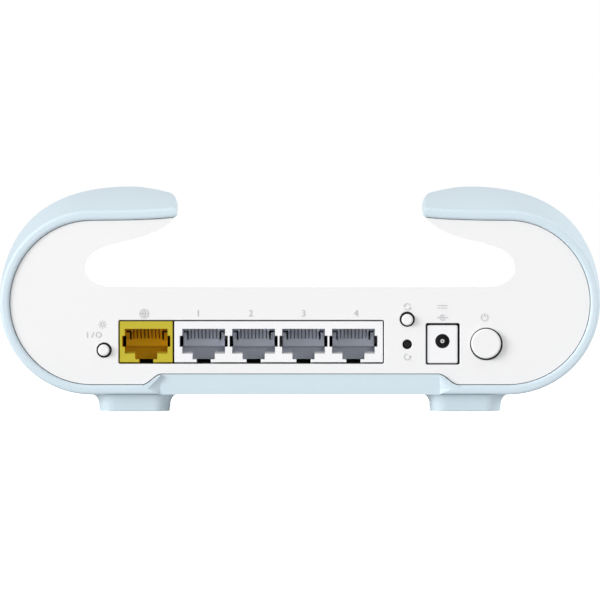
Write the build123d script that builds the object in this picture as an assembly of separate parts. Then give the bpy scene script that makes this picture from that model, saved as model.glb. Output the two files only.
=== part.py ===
from build123d import *

import math
import os
from dataclasses import dataclass, replace

# Wireless router with two wings that curl over a flat deck.
# Sizes are in millimetres. x runs to the right as seen from the port side, y from the port side
# to the nose and z up. While modelling, y is 0 at the rear rim; the export centres the depth.

# Outer form
DEPTH = 160.0
PAD_PROUD = 0.15
FOOT_HEIGHT = 4.6
RIM_RADIUS = 25.75
RIM_ARC_X = 58.2
SHELL_WALL = 2.7
SEAM_GAP = 0.18
DECK_HEIGHT = 29.85
NOSE_REACH = 75.0
NOSE_RISE = 50.0
NOSE_Z = 24.0
EDGE_ROUND = 0.9
ROUND_STEPS = (0.0, 0.12, 0.4, 1.0)
RIM_FULLNESS = 0.552
WING_FULLNESS = 0.655

# Wing sections, from the rear rim to beyond the nose; a reach is measured in from the rim's arc
TIP_REACH = 22.7
TIP_LIFT = 0.85
TIP_BEND = 0.3
TIP_OVERHANG = 0.11
TIP_NOSE = 1.3
MIDDLE_FLARE = 2.85
MIDDLE_RISE = 7.8
MIDDLE_ARCH_REACH = 9.0
MIDDLE_TIP_REACH = 19.25
MIDDLE_TIP_DROP = 1.35
MIDDLE_DECK_DROP = 0.4
MIDDLE_OPENING = 3.1
MIDDLE_CURL_LIFT = 0.8
FRONT_OVERRUN = 5.0
FRONT_FLARE = 3.5
FRONT_RISE = 5.4
FRONT_ARCH_REACH = 0.2
FRONT_TIP_REACH = 7.5
FRONT_TIP_DROP = 1.5
FRONT_DECK_DROP = 3.1
FRONT_OPENING = 5.9
FRONT_CURL_LIFT = 1.3
WING_BEND = 0.5

# Inner curve of the wing: a quarter ellipse off the deck, then a sweep up to the tip
CURL_OUT = 1.98
CURL_REACH = 8.06
CURL_RISE = 5.27
CURL_SWELL = 9.55
CURL_TIP_BACK = 6.96
CURL_TIP_DROP = 11.57
HOLLOW_TIP_BACK = 6.0

# Cover, rear panel and the recessed strip below it
COVER_WALL = 2.0
FRONT_WALL = 2.2
RIM_DEPTH = 1.3
REAR_RECESS = 0.95
PANEL_WALL = 2.0
PANEL_JOINT = 0.2
STRIP_RECESS = 1.2
STRIP_THICK = 2.4
STRIP_INSET = 19.8
STRIP_RISE = 3.0
STRIP_SLOPE = 6.0
STRIP_EASE = 2.4
STRIP_SINK = 0.06
NOTCH_INSET = 19.05
NOTCH_SCOOP = 3.5
NOTCH_TIP = 1.65
NOTCH_TOP = 5.1
EDGE_BREAK = 0.15
CLIP_WIDTH = 9.0
CLIP_THICK = 1.6
CLIP_LENGTH = 6.0
CLIP_X = 18.0

# Feet and their rubber pads
FOOT_FLARE = 2.2
REAR_FOOT_INSET = 11.8
REAR_FOOT_WIDTH = 19.3
REAR_FOOT_DEPTH = 16.0
REAR_FOOT_SETBACK = 2.4
FRONT_FOOT_INSET = 8.2
FRONT_FOOT_WIDTH = 15.0
FRONT_FOOT_DEPTH = 13.0
FRONT_FOOT_GAP = 16.0
FOOT_ROUND = 4.0
PAD_INSET = 2.2
PAD_SEAT = 0.8
PAD_CLEARANCE = 0.05

# Vent slots in the floor
VENT_WIDTH = 2.4
VENT_LENGTH = 30.0
VENT_PITCH = 6.0
VENT_COUNT = 11
VENT_ROWS_Y = (62.0, 98.0)

# Main board and its fixings
STANDOFF_HEIGHT = 4.45
STANDOFF_RADIUS = 3.0
BOARD_THICK = 1.6
BOARD_INSET = 0.2
BOARD_REAR = 4.4
BOARD_MARGIN = 6.4
BOARD_CORNER = 3.0
BOARD_SCREW_INSET = 10.0
BOARD_SCREW_GAP = 13.0
BOARD_SCREW_END = 6.4
BOARD_SCREW_RADIUS = 1.2
BOARD_SCREW_LENGTH = 5.0
BOARD_HEAD_RADIUS = 2.4
BOARD_HEAD_HEIGHT = 1.7
PILOT_CLEARANCE = 0.05

# Housing screws, from below into bosses of the cover
SCREW_INSET = 4.2
SCREW_REAR_Y = 31.0
SCREW_FRONT_GAP = 5.6
SCREW_RADIUS = 1.5
SCREW_LENGTH = 12.0
SCREW_HEAD_RADIUS = 2.8
SCREW_HEAD_HEIGHT = 2.0
SCREW_HEAD_DEPTH = 3.6
SCREW_CLEARANCE = 0.3
COVER_BOSS_RADIUS = 3.2
SHELL_BOSS_RADIUS = 4.6
BOSS_CLEARANCE = 0.6

# Network sockets
SOCKET_PITCH = 13.97
SOCKET_WIDTH = 12.0
SOCKET_HEIGHT = 6.95
SOCKET_FLOOR = 2.7
SOCKET_DEPTH = 13.0
SOCKET_ROOF = 2.1
SOCKET_BACK_WALL = 3.0
SOCKET_RECESS = 0.3
LEDGE_RISE = 2.05
LEDGE_DEPTH = 2.0
LATCH_WIDTH = 6.2
LATCH_DROP = 1.6
LATCH_NECK = 4.0
EAR_DEPTH = 0.75
EAR_HEIGHT = 3.1
EAR_FLOOR = 1.9
LAN_X = -6.0
LAN_COUNT = 4
LAN_END_WALL = 2.2
WAN_END_WALL = 1.39
WAN_GAP = 0.5
WINDOW_GAP = 0.34
WINDOW_SILL = 0.15
WINDOW_ROUND = 0.5
SOCKET_STEP = 0.33
SOCKET_STEP_DEPTH = 4.0
CONTACT_COUNT = 8
CONTACT_PITCH = 1.02
CONTACT_WIDTH = 0.3
CONTACT_THICK = 0.4
CONTACT_SETBACK = 1.6
CONTACT_RUN = 7.0
CONTACT_DIP = 2.4
COMB_HEIGHT = 0.9
COMB_WIDTH = 0.4
COMB_SETBACK = 5.0
KEY_SLOT_X = 4.55
KEY_SLOT_WIDTH = 0.5
KEY_SLOT_HEIGHT = 3.1
KEY_BAR_WIDTH = 2.4
KEY_BAR_HEIGHT = 0.42
KEY_BAR_DROP = 0.6

# Power inlet
INLET_SPACING = 1.35
INLET_WIDTH = 8.6
INLET_HEIGHT = 10.7
INLET_DEPTH = 13.0
INLET_RECESS = 0.5
INLET_GAP = 0.46
INLET_SHIFT = 0.08
INLET_EDGE = 0.4
INLET_BORE_RADIUS = 1.94
INLET_BORE_DEPTH = 9.0
INLET_BORE_Z = 6.2
INLET_PIN_RADIUS = 0.65
INLET_PIN_SHORT = 1.0
INLET_PIN_CHAMFER = 0.12
INLET_LEAF_THICK = 0.3
INLET_LEAF_WIDTH = 1.6

# Push buttons and their switches
POWER_SPACING = 2.5
POWER_RADIUS = 4.15
POWER_GAP = 0.4
POWER_PROUD = 1.8
POWER_TRAVEL = 2.0
POWER_SWITCH_SIZE = 8.6
POWER_SWITCH_DEPTH = 13.0
PLUNGER_SIZE = 3.0
SMALL_RADIUS = 1.58
SMALL_GAP = 0.55
SMALL_PROUD = 1.5
SMALL_TRAVEL = 0.5
HOLE_SHIFT = 0.12
LED_SPACING = 1.565
WPS_SPACING = 2.645
WPS_Z = 12.2
RESET_Z = 5.3
RESET_HOLE_RADIUS = 1.34
BUTTON_CROWN = 0.5
COLLAR_EXTRA = 0.8
COLLAR_LIFT = 0.15
LED_LIFT = 0.75
COLLAR_THICK = 1.0
COLLAR_GAP = 0.5
STEM_RADIUS = 0.9
STEM_LENGTH = 1.7
STEM_SINK = 1.2
STEM_CLEARANCE = 0.12
TACT_SIZE = 5.8
TACT_THICK = 3.4
BUTTON_BOARD_WIDTH = 8.4
BUTTON_BOARD_THICK = 1.2
BUTTON_BOARD_OVER = 3.2

# Chips, heat sink and other parts on the main board
PROCESSOR_SIZE = 15.0
PROCESSOR_THICK = 1.2
PAD_THICK = 0.8
SINK_SIZE = 44.0
SINK_GAP = 7.0
SINK_BASE = 2.0
SINK_FIN_HEIGHT = 6.0
SINK_FIN_THICK = 1.4
SINK_FIN_COUNT = 9
CHIP_THICK = 1.0
CHIP_GAP = 3.0
MEMORY_WIDTH = 7.5
MEMORY_LENGTH = 13.0
FLASH_SIZE = 6.0
SWITCH_CHIP_SIZE = 10.0
SWITCH_CHIP_X = -33.0
SHIELD_WIDTH = 30.0
SHIELD_LENGTH = 22.0
SHIELD_HEIGHT = 3.2
SHIELD_WALL = 0.4
SHIELD_X = 24.0
SHIELD_GAP = 6.0
TRANSFORMER_DEPTH = 12.0
TRANSFORMER_HEIGHT = 6.2
TRANSFORMER_GAP = 5.4
LAN_TRANSFORMER_WIDTH = 25.0
WAN_TRANSFORMER_WIDTH = 12.5
CAPACITOR_RADIUS = 4.0
CAPACITOR_HEIGHT = 11.0
CAPACITOR_PLACES = ((32.0, 26.0), (42.0, 32.0), (32.0, 36.0))
INDUCTOR_SIZE = 7.0
INDUCTOR_HEIGHT = 4.2
INDUCTOR_PLACES = ((41.0, 44.5), (32.0, 46.0))

# Status light
LENS_AHEAD = 9.0
LENS_LENGTH = 11.0
LENS_WIDTH = 2.4
LENS_GAP = 0.1
LENS_DEPTH = 1.0
LIGHT_PIPE_WIDTH = 5.0
LED_CHIP_HEIGHT = 0.8
LED_CHIP_LENGTH = 3.0
LED_CHIP_WIDTH = 1.6
LIGHT_GAP = 0.3

# Antennas in the wings
ANTENNA_INSET = 8.75
ANTENNA_THICK = 0.8
ANTENNA_HEIGHT = 15.0
ANTENNA_LENGTH = 38.0
ANTENNA_Y = (56.0, 104.0)
ANTENNA_BASE = 24.5
RIB_THICK = 1.6
RIB_INSET = 5.0
RIB_REACH = 3.0
RIB_BELOW = 4.0
RIB_GRIP = 6.0
RIB_SLOT_GAP = 0.1
COAX_RADIUS = 0.6
COAX_TAIL = 5.0
COAX_BEND = 6.0
CONNECTOR_SIZE = 2.6
CONNECTOR_HEIGHT = 1.3
CONNECTOR_INSET = 7.0

# Heights and places that follow from the sizes above
FLOOR_BOTTOM = PAD_PROUD + FOOT_HEIGHT
FLOOR_TOP = FLOOR_BOTTOM + SHELL_WALL
AXIS_Z = FLOOR_BOTTOM + RIM_RADIUS
DECK_Z = FLOOR_BOTTOM + DECK_HEIGHT
BOARD_BOTTOM = FLOOR_TOP + STANDOFF_HEIGHT
BOARD_TOP = BOARD_BOTTOM + BOARD_THICK
PANEL_FACE = REAR_RECESS
FOREMOST_Y = min(0, PANEL_FACE - POWER_PROUD)
PANEL_BACK = PANEL_FACE + PANEL_WALL
STRIP_TOP = FLOOR_TOP + STRIP_RISE
LED_Z = SMALL_RADIUS + SMALL_GAP + COLLAR_EXTRA + LED_LIFT
COLLAR_FACE = PANEL_BACK + COLLAR_GAP
COLLAR_BACK = COLLAR_FACE + COLLAR_THICK
TACT_FACE = COLLAR_BACK + STEM_LENGTH
REACH = 2 * DEPTH
MARGIN = 1.0
RIM_TOP = AXIS_Z + RIM_RADIUS
RIM_HALF = RIM_ARC_X + RIM_RADIUS
REAR_TIP_Z = RIM_TOP + TIP_LIFT
CURL_X = RIM_ARC_X + CURL_OUT
CURL_Z = DECK_Z + CURL_RISE
STRIP_HALF = RIM_ARC_X - STRIP_INSET
NOTCH_HALF = RIM_ARC_X - NOTCH_INSET
REAR_FOOT_X = RIM_ARC_X - REAR_FOOT_INSET
FRONT_FOOT_X = RIM_ARC_X - FRONT_FOOT_INSET
SCREW_X = RIM_ARC_X - SCREW_INSET
BOARD_HALF = RIM_ARC_X - BOARD_INSET
BOARD_SCREW_X = BOARD_HALF - BOARD_SCREW_INSET
CONNECTOR_X = BOARD_HALF - CONNECTOR_INSET
ANTENNA_X = RIM_HALF - SHELL_WALL - ANTENNA_INSET

# Places along the rear panel, outwards from the gang of sockets
SOCKET_FACE = PANEL_FACE + SOCKET_RECESS
SOCKET_BODY_DEPTH = SOCKET_DEPTH + SOCKET_BACK_WALL
SOCKET_BODY_HEIGHT = SOCKET_FLOOR + SOCKET_HEIGHT + SOCKET_ROOF
LAN_BODY_WIDTH = (LAN_COUNT - 1) * SOCKET_PITCH + SOCKET_WIDTH + 2 * LAN_END_WALL
LAN_LEFT = LAN_X - LAN_BODY_WIDTH / 2
LAN_RIGHT = LAN_X + LAN_BODY_WIDTH / 2
WAN_BODY_WIDTH = SOCKET_WIDTH + 2 * WAN_END_WALL
WAN_X = LAN_LEFT - WAN_GAP - WAN_BODY_WIDTH / 2
LED_X = WAN_X - WAN_BODY_WIDTH / 2 - LED_SPACING - TACT_SIZE / 2
WPS_X = LAN_RIGHT + WPS_SPACING + BUTTON_BOARD_WIDTH / 2
INLET_X = WPS_X + BUTTON_BOARD_WIDTH / 2 + INLET_SPACING + INLET_WIDTH / 2
POWER_COLLAR = POWER_RADIUS + POWER_GAP + COLLAR_EXTRA
POWER_Z = POWER_COLLAR + COLLAR_LIFT
POWER_X = INLET_X + INLET_WIDTH / 2 + POWER_SPACING + POWER_COLLAR

# Places along the main board, from the sockets to the nose
TRANSFORMER_Y = SOCKET_FACE + SOCKET_BODY_DEPTH + TRANSFORMER_GAP + TRANSFORMER_DEPTH / 2
PROCESSOR_Y = TRANSFORMER_Y + TRANSFORMER_DEPTH / 2 + SINK_GAP + SINK_SIZE / 2
SHIELD_Y = PROCESSOR_Y + SINK_SIZE / 2 + SHIELD_GAP + SHIELD_LENGTH / 2
BOARD_END = SHIELD_Y + SHIELD_LENGTH / 2 + BOARD_MARGIN
BOARD_LENGTH = BOARD_END - BOARD_REAR
BOARD_SCREW_Y = (TRANSFORMER_Y + TRANSFORMER_DEPTH / 2 + BOARD_SCREW_GAP, BOARD_END - BOARD_SCREW_END)
SCREW_Y = (SCREW_REAR_Y, BOARD_END + SCREW_FRONT_GAP)
FRONT_FOOT_Y = SCREW_Y[-1] + FRONT_FOOT_GAP
LENS_Y = SHIELD_Y + LENS_AHEAD


@dataclass
class Section:
    """One cross-section of the body: where it stands and how the wing is drawn there."""

    y: float
    half_width: float
    arch_x: float
    top_z: float
    tip_x: float
    tip_z: float
    deck_z: float
    curl_x: float
    curl_z: float
    fullness: float
    bend: float


SECTIONS = (
    Section(
        y=EDGE_ROUND,
        half_width=RIM_HALF,
        arch_x=RIM_ARC_X,
        top_z=RIM_TOP,
        tip_x=RIM_ARC_X - TIP_REACH,
        tip_z=REAR_TIP_Z,
        deck_z=DECK_Z,
        curl_x=CURL_X,
        curl_z=CURL_Z,
        fullness=RIM_FULLNESS,
        bend=TIP_BEND,
    ),
    Section(
        y=DEPTH / 2,
        half_width=RIM_HALF + MIDDLE_FLARE,
        arch_x=RIM_ARC_X - MIDDLE_ARCH_REACH,
        top_z=RIM_TOP + MIDDLE_RISE,
        tip_x=RIM_ARC_X - MIDDLE_TIP_REACH,
        tip_z=RIM_TOP + MIDDLE_RISE - MIDDLE_TIP_DROP,
        deck_z=DECK_Z - MIDDLE_DECK_DROP,
        curl_x=CURL_X + MIDDLE_OPENING,
        curl_z=CURL_Z + MIDDLE_CURL_LIFT,
        fullness=WING_FULLNESS,
        bend=WING_BEND,
    ),
    Section(
        y=DEPTH + FRONT_OVERRUN,
        half_width=RIM_HALF + FRONT_FLARE,
        arch_x=RIM_ARC_X - FRONT_ARCH_REACH,
        top_z=RIM_TOP + FRONT_RISE,
        tip_x=RIM_ARC_X - FRONT_TIP_REACH,
        tip_z=RIM_TOP + FRONT_RISE - FRONT_TIP_DROP,
        deck_z=DECK_Z - FRONT_DECK_DROP,
        curl_x=CURL_X + FRONT_OPENING,
        curl_z=CURL_Z + FRONT_CURL_LIFT,
        fullness=WING_FULLNESS,
        bend=WING_BEND,
    ),
)


# Small helpers


def block(x0, x1, y0, y1, z0, z1):
    """A box between two corners."""
    return Pos((x0 + x1) / 2, (y0 + y1) / 2, (z0 + z1) / 2) * Box(x1 - x0, y1 - y0, z1 - z0)


def rounded_bar(x0, x1, y0, y1, z0, z1):
    """A bar along the depth, with rounded long edges."""
    outline = RectangleRounded(x1 - x0, z1 - z0, WINDOW_ROUND)
    middle = ((x0 + x1) / 2, y1, (z0 + z1) / 2)
    upright = Plane(origin=middle, x_dir=(1, 0, 0), z_dir=(0, -1, 0))
    return extrude(upright * outline, amount=y1 - y0, dir=(0, -1, 0))


def rod_along_y(x, z, y0, y1, radius):
    """A round bar along the depth."""
    return Pos(x, (y0 + y1) / 2, z) * Rot(90, 0, 0) * Cylinder(radius, y1 - y0)


def post(x, y, z0, z1, radius):
    """An upright round bar."""
    return Pos(x, y, (z0 + z1) / 2) * Cylinder(radius, z1 - z0)


def both_sides(x_values, y_values):
    """Every place of a pattern mirrored left and right."""
    return [(side * x, y) for x in x_values for y in y_values for side in (-1, 1)]


# Sections of the body


def outer_path(section, inset):
    """Floor, side and roof of the right half, at a distance inside the outer surface."""
    low = EllipticalCenterArc(
        (RIM_ARC_X, AXIS_Z),
        section.half_width - RIM_ARC_X - inset,
        AXIS_Z - FLOOR_BOTTOM - inset,
        start_angle=270,
        arc_size=90,
    )
    half = section.half_width - inset
    top = section.top_z - inset
    high = Bezier(
        (half, AXIS_Z),
        (half, AXIS_Z + section.fullness * (top - AXIS_Z)),
        (section.arch_x + section.fullness * (half - section.arch_x), top),
        (section.arch_x, top),
    )
    floor = Line((0, FLOOR_BOTTOM + inset), low @ 0)
    bend_x = section.tip_x + section.bend * (section.arch_x - section.tip_x)
    roof = Bezier((section.arch_x, top), (bend_x, top), tip_point(section, inset))
    return [floor, low, high, roof]


def tip_point(section, inset):
    """End of the wing's roof, at a distance inside the outer surface."""
    return (section.tip_x - TIP_OVERHANG * inset, section.tip_z - inset)


def tip_nose(start, end):
    """The rounded end of the wing, from its roof to its underside."""
    return Bezier(start, start - (TIP_NOSE, 0), end - (TIP_NOSE, 0), end)


def inner_path(section, start, wall):
    """Wing underside, curl and deck of the right half, from the tip, at a depth into the wall."""
    curl_x = section.curl_x + wall
    sweep = Bezier(
        start,
        (section.tip_x + CURL_TIP_BACK + wall, section.tip_z - CURL_TIP_DROP + wall),
        (curl_x, section.curl_z + CURL_SWELL),
        (curl_x, section.curl_z),
    )
    curl = EllipticalCenterArc(
        (section.curl_x - CURL_REACH, section.curl_z),
        CURL_REACH + wall,
        section.curl_z - section.deck_z + wall,
        start_angle=0,
        arc_size=-90,
    )
    deck = Line(curl @ 1, (0, section.deck_z - wall))
    return [sweep, curl, deck]


def section_face(section, half):
    """The closed outline of a half path and its mirror image, stood up at the section's place."""
    outline = Wire(half + [edge.mirror(Plane.YZ) for edge in half])
    upright = Plane(origin=(0, section.y, 0), x_dir=(1, 0, 0), z_dir=(0, -1, 0))
    return upright * Face(outline)


def quarter_round(step):
    """How far a rounded edge stands back, as a share of its radius, at a share of its depth."""
    return 1 - math.sqrt(1 - (1 - step) ** 2)


def band_face(section, ease):
    """Outline of the outer wall at a section, thinned on both faces where the rim is rounded."""
    outside = outer_path(section, ease)
    inside = outer_path(section, SHELL_WALL - ease)
    tip = tip_nose(outside[-1] @ 1, inside[-1] @ 1)
    return section_face(section, outside + [tip] + inside)


def shell_band():
    """The thin outer wall, from wing tip to wing tip under the body, with a rounded rear rim."""
    rim = []
    for step in ROUND_STEPS:
        at_step = replace(SECTIONS[0], y=EDGE_ROUND * step)
        rim.append(band_face(at_step, EDGE_ROUND * quarter_round(step)))
    return loft(rim, ruled=True) + loft([band_face(section, 0) for section in SECTIONS])


def inner_body():
    """Everything inside the shell, up to the deck and the underside of the wings."""
    faces = []
    for section in SECTIONS:
        outside = outer_path(section, SHELL_WALL + SEAM_GAP)
        faces.append(section_face(section, outside + inner_path(section, outside[-1] @ 1, 0)))
    return loft(faces)


def hollow(wall):
    """The space below a depth in the cover's wall; it runs out into the shell to cut clean."""
    faces = []
    for section in SECTIONS:
        outside = outer_path(section, SHELL_WALL - MARGIN)[:-1]
        end_x = section.tip_x + HOLLOW_TIP_BACK
        end_z = section.tip_z - SHELL_WALL - wall
        roof = Line(outside[-1] @ 1, (end_x, section.top_z))
        drop = Line(roof @ 1, (end_x, end_z))
        under = inner_path(section, (end_x, end_z), wall)
        faces.append(section_face(section, outside + [roof, drop] + under))
    return loft(faces) & block(-REACH, REACH, 0, DEPTH, 0, REACH)


def nose_region(inset, start):
    """Everything behind the rounded nose, seen from the side, from a start depth on."""
    centre_y = DEPTH - NOSE_REACH
    side = Pos(centre_y, NOSE_Z) * Ellipse(NOSE_REACH - inset, NOSE_RISE - inset)
    back = Pos((start + centre_y) / 2, NOSE_Z) * Rectangle(centre_y - start, 2 * NOSE_RISE)
    ahead = Pos(start + REACH / 2, NOSE_Z) * Rectangle(REACH, 2 * NOSE_RISE)
    return extrude(Plane.YZ * ((side + back) & ahead), amount=REACH / 2, both=True)


# Outer shell


def strip_face(grow):
    """Outline of the recessed strip below the ports, in the x and z directions."""
    half = STRIP_HALF + grow
    foot = half + STRIP_SLOPE
    top = STRIP_TOP + grow
    bottom = FLOOR_TOP + grow - STRIP_SINK
    base = FLOOR_BOTTOM + MARGIN
    ridge = Line((0, top), (half, top))
    slope = Bezier((half, top), (half + STRIP_EASE, top), (foot - STRIP_EASE, bottom), (foot, bottom))
    skirt = Polyline((foot, bottom), (foot, base), (0, base))
    side = [ridge, slope, *skirt.edges()]
    return Face(Wire(side + [edge.mirror(Plane.YZ) for edge in side]))


def strip(grow, start, end):
    """The strip as a bar of the shell, or grown by a gap as the cut in the panel."""
    upright = Plane(origin=(0, end, 0), x_dir=(1, 0, 0), z_dir=(0, -1, 0))
    return extrude(upright * strip_face(grow), amount=end - start, dir=(0, -1, 0))


def strip_notch():
    """The recess in front of the strip; at each end a facet rises from it to a tip on the rim's face."""
    heights = (FLOOR_BOTTOM - MARGIN, FLOOR_BOTTOM, FLOOR_BOTTOM + NOTCH_TIP, FLOOR_BOTTOM + NOTCH_TOP)
    top = STRIP_TOP + MARGIN
    faces = []
    for y in (-MARGIN, STRIP_RECESS):
        scoop = NOTCH_SCOOP * (STRIP_RECESS - y) / STRIP_RECESS
        side = [(NOTCH_HALF, z) for z in (*heights, top)]
        side[2] = (NOTCH_HALF + scoop, heights[2])
        outline = Polyline(*side, *((-x, z) for x, z in reversed(side)), close=True)
        upright = Plane(origin=(0, y, 0), x_dir=(1, 0, 0), z_dir=(0, -1, 0))
        faces.append(upright * make_face(outline))
    return loft(faces, ruled=True)


def foot(x, y, width, depth):
    """One moulded foot, flaring out to meet the floor."""
    faces = []
    for step in ROUND_STEPS:
        grow = FOOT_FLARE * quarter_round(step)
        outline = RectangleRounded(width + 2 * grow, depth + 2 * grow, FOOT_ROUND + grow)
        faces.append(Pos(x, y, FLOOR_BOTTOM - step * FOOT_HEIGHT) * outline)
    core = Pos(x, y, FLOOR_BOTTOM) * RectangleRounded(width, depth, FOOT_ROUND)
    root = extrude(core, amount=SHELL_WALL / 2)
    return loft(faces) + root


def foot_places():
    """Centre, width and depth of each foot."""
    rear_y = REAR_FOOT_SETBACK + REAR_FOOT_DEPTH / 2
    rear = [(x, y, REAR_FOOT_WIDTH, REAR_FOOT_DEPTH) for x, y in both_sides((REAR_FOOT_X,), (rear_y,))]
    front = [
        (x, y, FRONT_FOOT_WIDTH, FRONT_FOOT_DEPTH)
        for x, y in both_sides((FRONT_FOOT_X,), (FRONT_FOOT_Y,))
    ]
    return rear + front


def foot_pad(x, y, width, depth, grow):
    """One rubber pad, seated in the underside of a foot, or grown by a clearance as its pocket."""
    margin = 2 * (PAD_INSET - grow)
    outline = RectangleRounded(width - margin, depth - margin, FOOT_ROUND - PAD_INSET / 2 + grow)
    return extrude(Pos(x, y, 0) * outline, amount=PAD_PROUD + PAD_SEAT)


def vents():
    """Rows of slots through the floor."""
    slots = []
    for row_y in VENT_ROWS_Y:
        for index in range(VENT_COUNT):
            x = (index - (VENT_COUNT - 1) / 2) * VENT_PITCH
            outline = Rot(0, 0, 90) * SlotOverall(VENT_LENGTH, VENT_WIDTH)
            start = Pos(x, row_y, FLOOR_BOTTOM - MARGIN)
            slots.append(extrude(start * outline, amount=SHELL_WALL + 2 * MARGIN))
    return slots


def antenna_ribs():
    """Slotted ribs on the shell's sides that hold the antenna boards upright."""
    low = AXIS_Z - RIB_BELOW
    slot_floor = FLOOR_TOP + ANTENNA_BASE
    body = [section_face(s, outer_path(s, SHELL_WALL / 2)[:-1] + closing_line(s)) for s in SECTIONS]
    side_space = loft(body)
    ribs = []
    for side in (-1, 1):
        slot_half = ANTENNA_THICK / 2 + RIB_SLOT_GAP
        inside = side * (ANTENNA_X - RIB_REACH)
        outside = side * REACH / 2
        for rib_y in rib_places():
            rib = block(
                min(inside, outside),
                max(inside, outside),
                rib_y - RIB_THICK / 2,
                rib_y + RIB_THICK / 2,
                low,
                slot_floor + RIB_GRIP,
            )
            slot = block(
                side * ANTENNA_X - slot_half,
                side * ANTENNA_X + slot_half,
                rib_y - RIB_THICK,
                rib_y + RIB_THICK,
                slot_floor,
                slot_floor + RIB_GRIP + MARGIN,
            )
            ribs.append((rib & side_space) - slot)
    return ribs


def closing_line(section):
    """Closes a section's outer path straight across below the roof."""
    return [Line((section.arch_x, section.top_z - SHELL_WALL / 2), (0, section.top_z - SHELL_WALL / 2))]


def rib_places():
    """Depths of the ribs, two for each antenna board."""
    offset = ANTENNA_LENGTH / 2 - RIB_INSET
    return [y + end * offset for y in ANTENNA_Y for end in (-1, 1)]


def make_outer_shell():
    """Blue shell: the wrap-around wall with its strip, feet, posts, ribs and vents."""
    wall = shell_band() & nose_region(0, -MARGIN)
    boss_top = BOARD_BOTTOM - BOSS_CLEARANCE
    bosses = [post(x, y, FLOOR_BOTTOM + MARGIN, boss_top, SHELL_BOSS_RADIUS) for x, y in screw_places()]
    standoffs = [
        post(x, y, FLOOR_BOTTOM + MARGIN, BOARD_BOTTOM, STANDOFF_RADIUS) for x, y in board_screw_places()
    ]
    feet = [foot(*place) for place in foot_places()]
    bar = strip(0, 0, STRIP_RECESS + STRIP_THICK)
    wall = wall + bar - strip_notch()
    wall = wall + [*feet, *bosses, *standoffs, *antenna_ribs()]
    cuts = [foot_pad(*place, PAD_CLEARANCE) for place in foot_places()]
    for x, y in screw_places():
        seat = FLOOR_BOTTOM + SCREW_HEAD_DEPTH
        cuts.append(post(x, y, FLOOR_BOTTOM - MARGIN, seat, SCREW_HEAD_RADIUS + SCREW_CLEARANCE))
        cuts.append(post(x, y, seat - MARGIN, boss_top + MARGIN, SCREW_RADIUS + SCREW_CLEARANCE))
    for x, y in board_screw_places():
        tip = BOARD_TOP - BOARD_SCREW_LENGTH - MARGIN / 2
        cuts.append(post(x, y, tip, BOARD_BOTTOM + MARGIN, BOARD_SCREW_RADIUS + PILOT_CLEARANCE))
    return wall - cuts - vents()


def make_rubber_feet():
    return [foot_pad(*place, 0) for place in foot_places()]


# Cover and rear panel


def screw_places():
    return both_sides((SCREW_X,), SCREW_Y)


def board_screw_places():
    return both_sides((BOARD_SCREW_X,), BOARD_SCREW_Y)


def lens_slot(grow, z0, z1):
    """The status light's slot in the deck."""
    outline = SlotOverall(LENS_LENGTH + 2 * grow, LENS_WIDTH + 2 * grow)
    return extrude(Pos(0, LENS_Y, z0) * outline, amount=z1 - z0)


def make_top_cover(body):
    """White cover: deck, inner side of the wings and front wall in one moulding."""
    start = PANEL_BACK + PANEL_JOINT
    cover = body & nose_region(RIM_DEPTH, start)
    cover = cover - (hollow(COVER_WALL) & nose_region(RIM_DEPTH + FRONT_WALL, -MARGIN))
    mid_wall = hollow(COVER_WALL / 2)
    boss_bottom = BOARD_BOTTOM - BOSS_CLEARANCE
    pilot_top = FLOOR_BOTTOM + SCREW_HEAD_DEPTH + SCREW_LENGTH + MARGIN
    for x, y in screw_places():
        cover = cover + (post(x, y, boss_bottom, DECK_Z + CURL_RISE, COVER_BOSS_RADIUS) & mid_wall)
        cover = cover - post(x, y, boss_bottom - MARGIN, pilot_top, SCREW_RADIUS + PILOT_CLEARANCE)
    return cover - lens_slot(LENS_GAP, BOARD_TOP, DECK_Z + RIM_RADIUS)


def make_rear_panel(body):
    """White rear panel with the windows for the sockets, the inlet and the buttons."""
    panel = body & block(-REACH, REACH, PANEL_FACE, PANEL_BACK, 0, REACH)
    panel = panel - strip(SEAM_GAP, 0, PANEL_BACK + MARGIN)
    for side in (-1, 1):
        top = DECK_Z - COVER_WALL - SEAM_GAP
        panel = panel + block(
            side * CLIP_X - CLIP_WIDTH / 2,
            side * CLIP_X + CLIP_WIDTH / 2,
            PANEL_BACK - MARGIN,
            PANEL_BACK + CLIP_LENGTH,
            top - CLIP_THICK,
            top,
        )
    front, back = PANEL_FACE - MARGIN, PANEL_BACK + MARGIN
    left = WAN_X - WAN_BODY_WIDTH / 2 - WINDOW_GAP
    right = LAN_RIGHT + WINDOW_GAP
    top = BOARD_TOP + SOCKET_BODY_HEIGHT + WINDOW_GAP
    windows = [rounded_bar(left, right, front, back, BOARD_TOP - WINDOW_SILL, top)]
    windows.append(inlet_block(INLET_SHIFT, INLET_GAP, front, back))
    power_z = BOARD_TOP + POWER_Z - HOLE_SHIFT
    windows.append(rod_along_y(POWER_X + HOLE_SHIFT, power_z, front, back, POWER_RADIUS + POWER_GAP))
    small_hole = SMALL_RADIUS + SMALL_GAP
    windows.append(rod_along_y(LED_X + HOLE_SHIFT, BOARD_TOP + LED_Z, front, back, small_hole))
    windows.append(rod_along_y(WPS_X, BOARD_TOP + WPS_Z + HOLE_SHIFT, front, back, small_hole))
    windows.append(rod_along_y(WPS_X, BOARD_TOP + RESET_Z, front, back, RESET_HOLE_RADIUS))
    panel = panel - windows
    return chamfer([edge for edge in panel.edges() if on_window(edge.center())], EDGE_BREAK)


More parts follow.
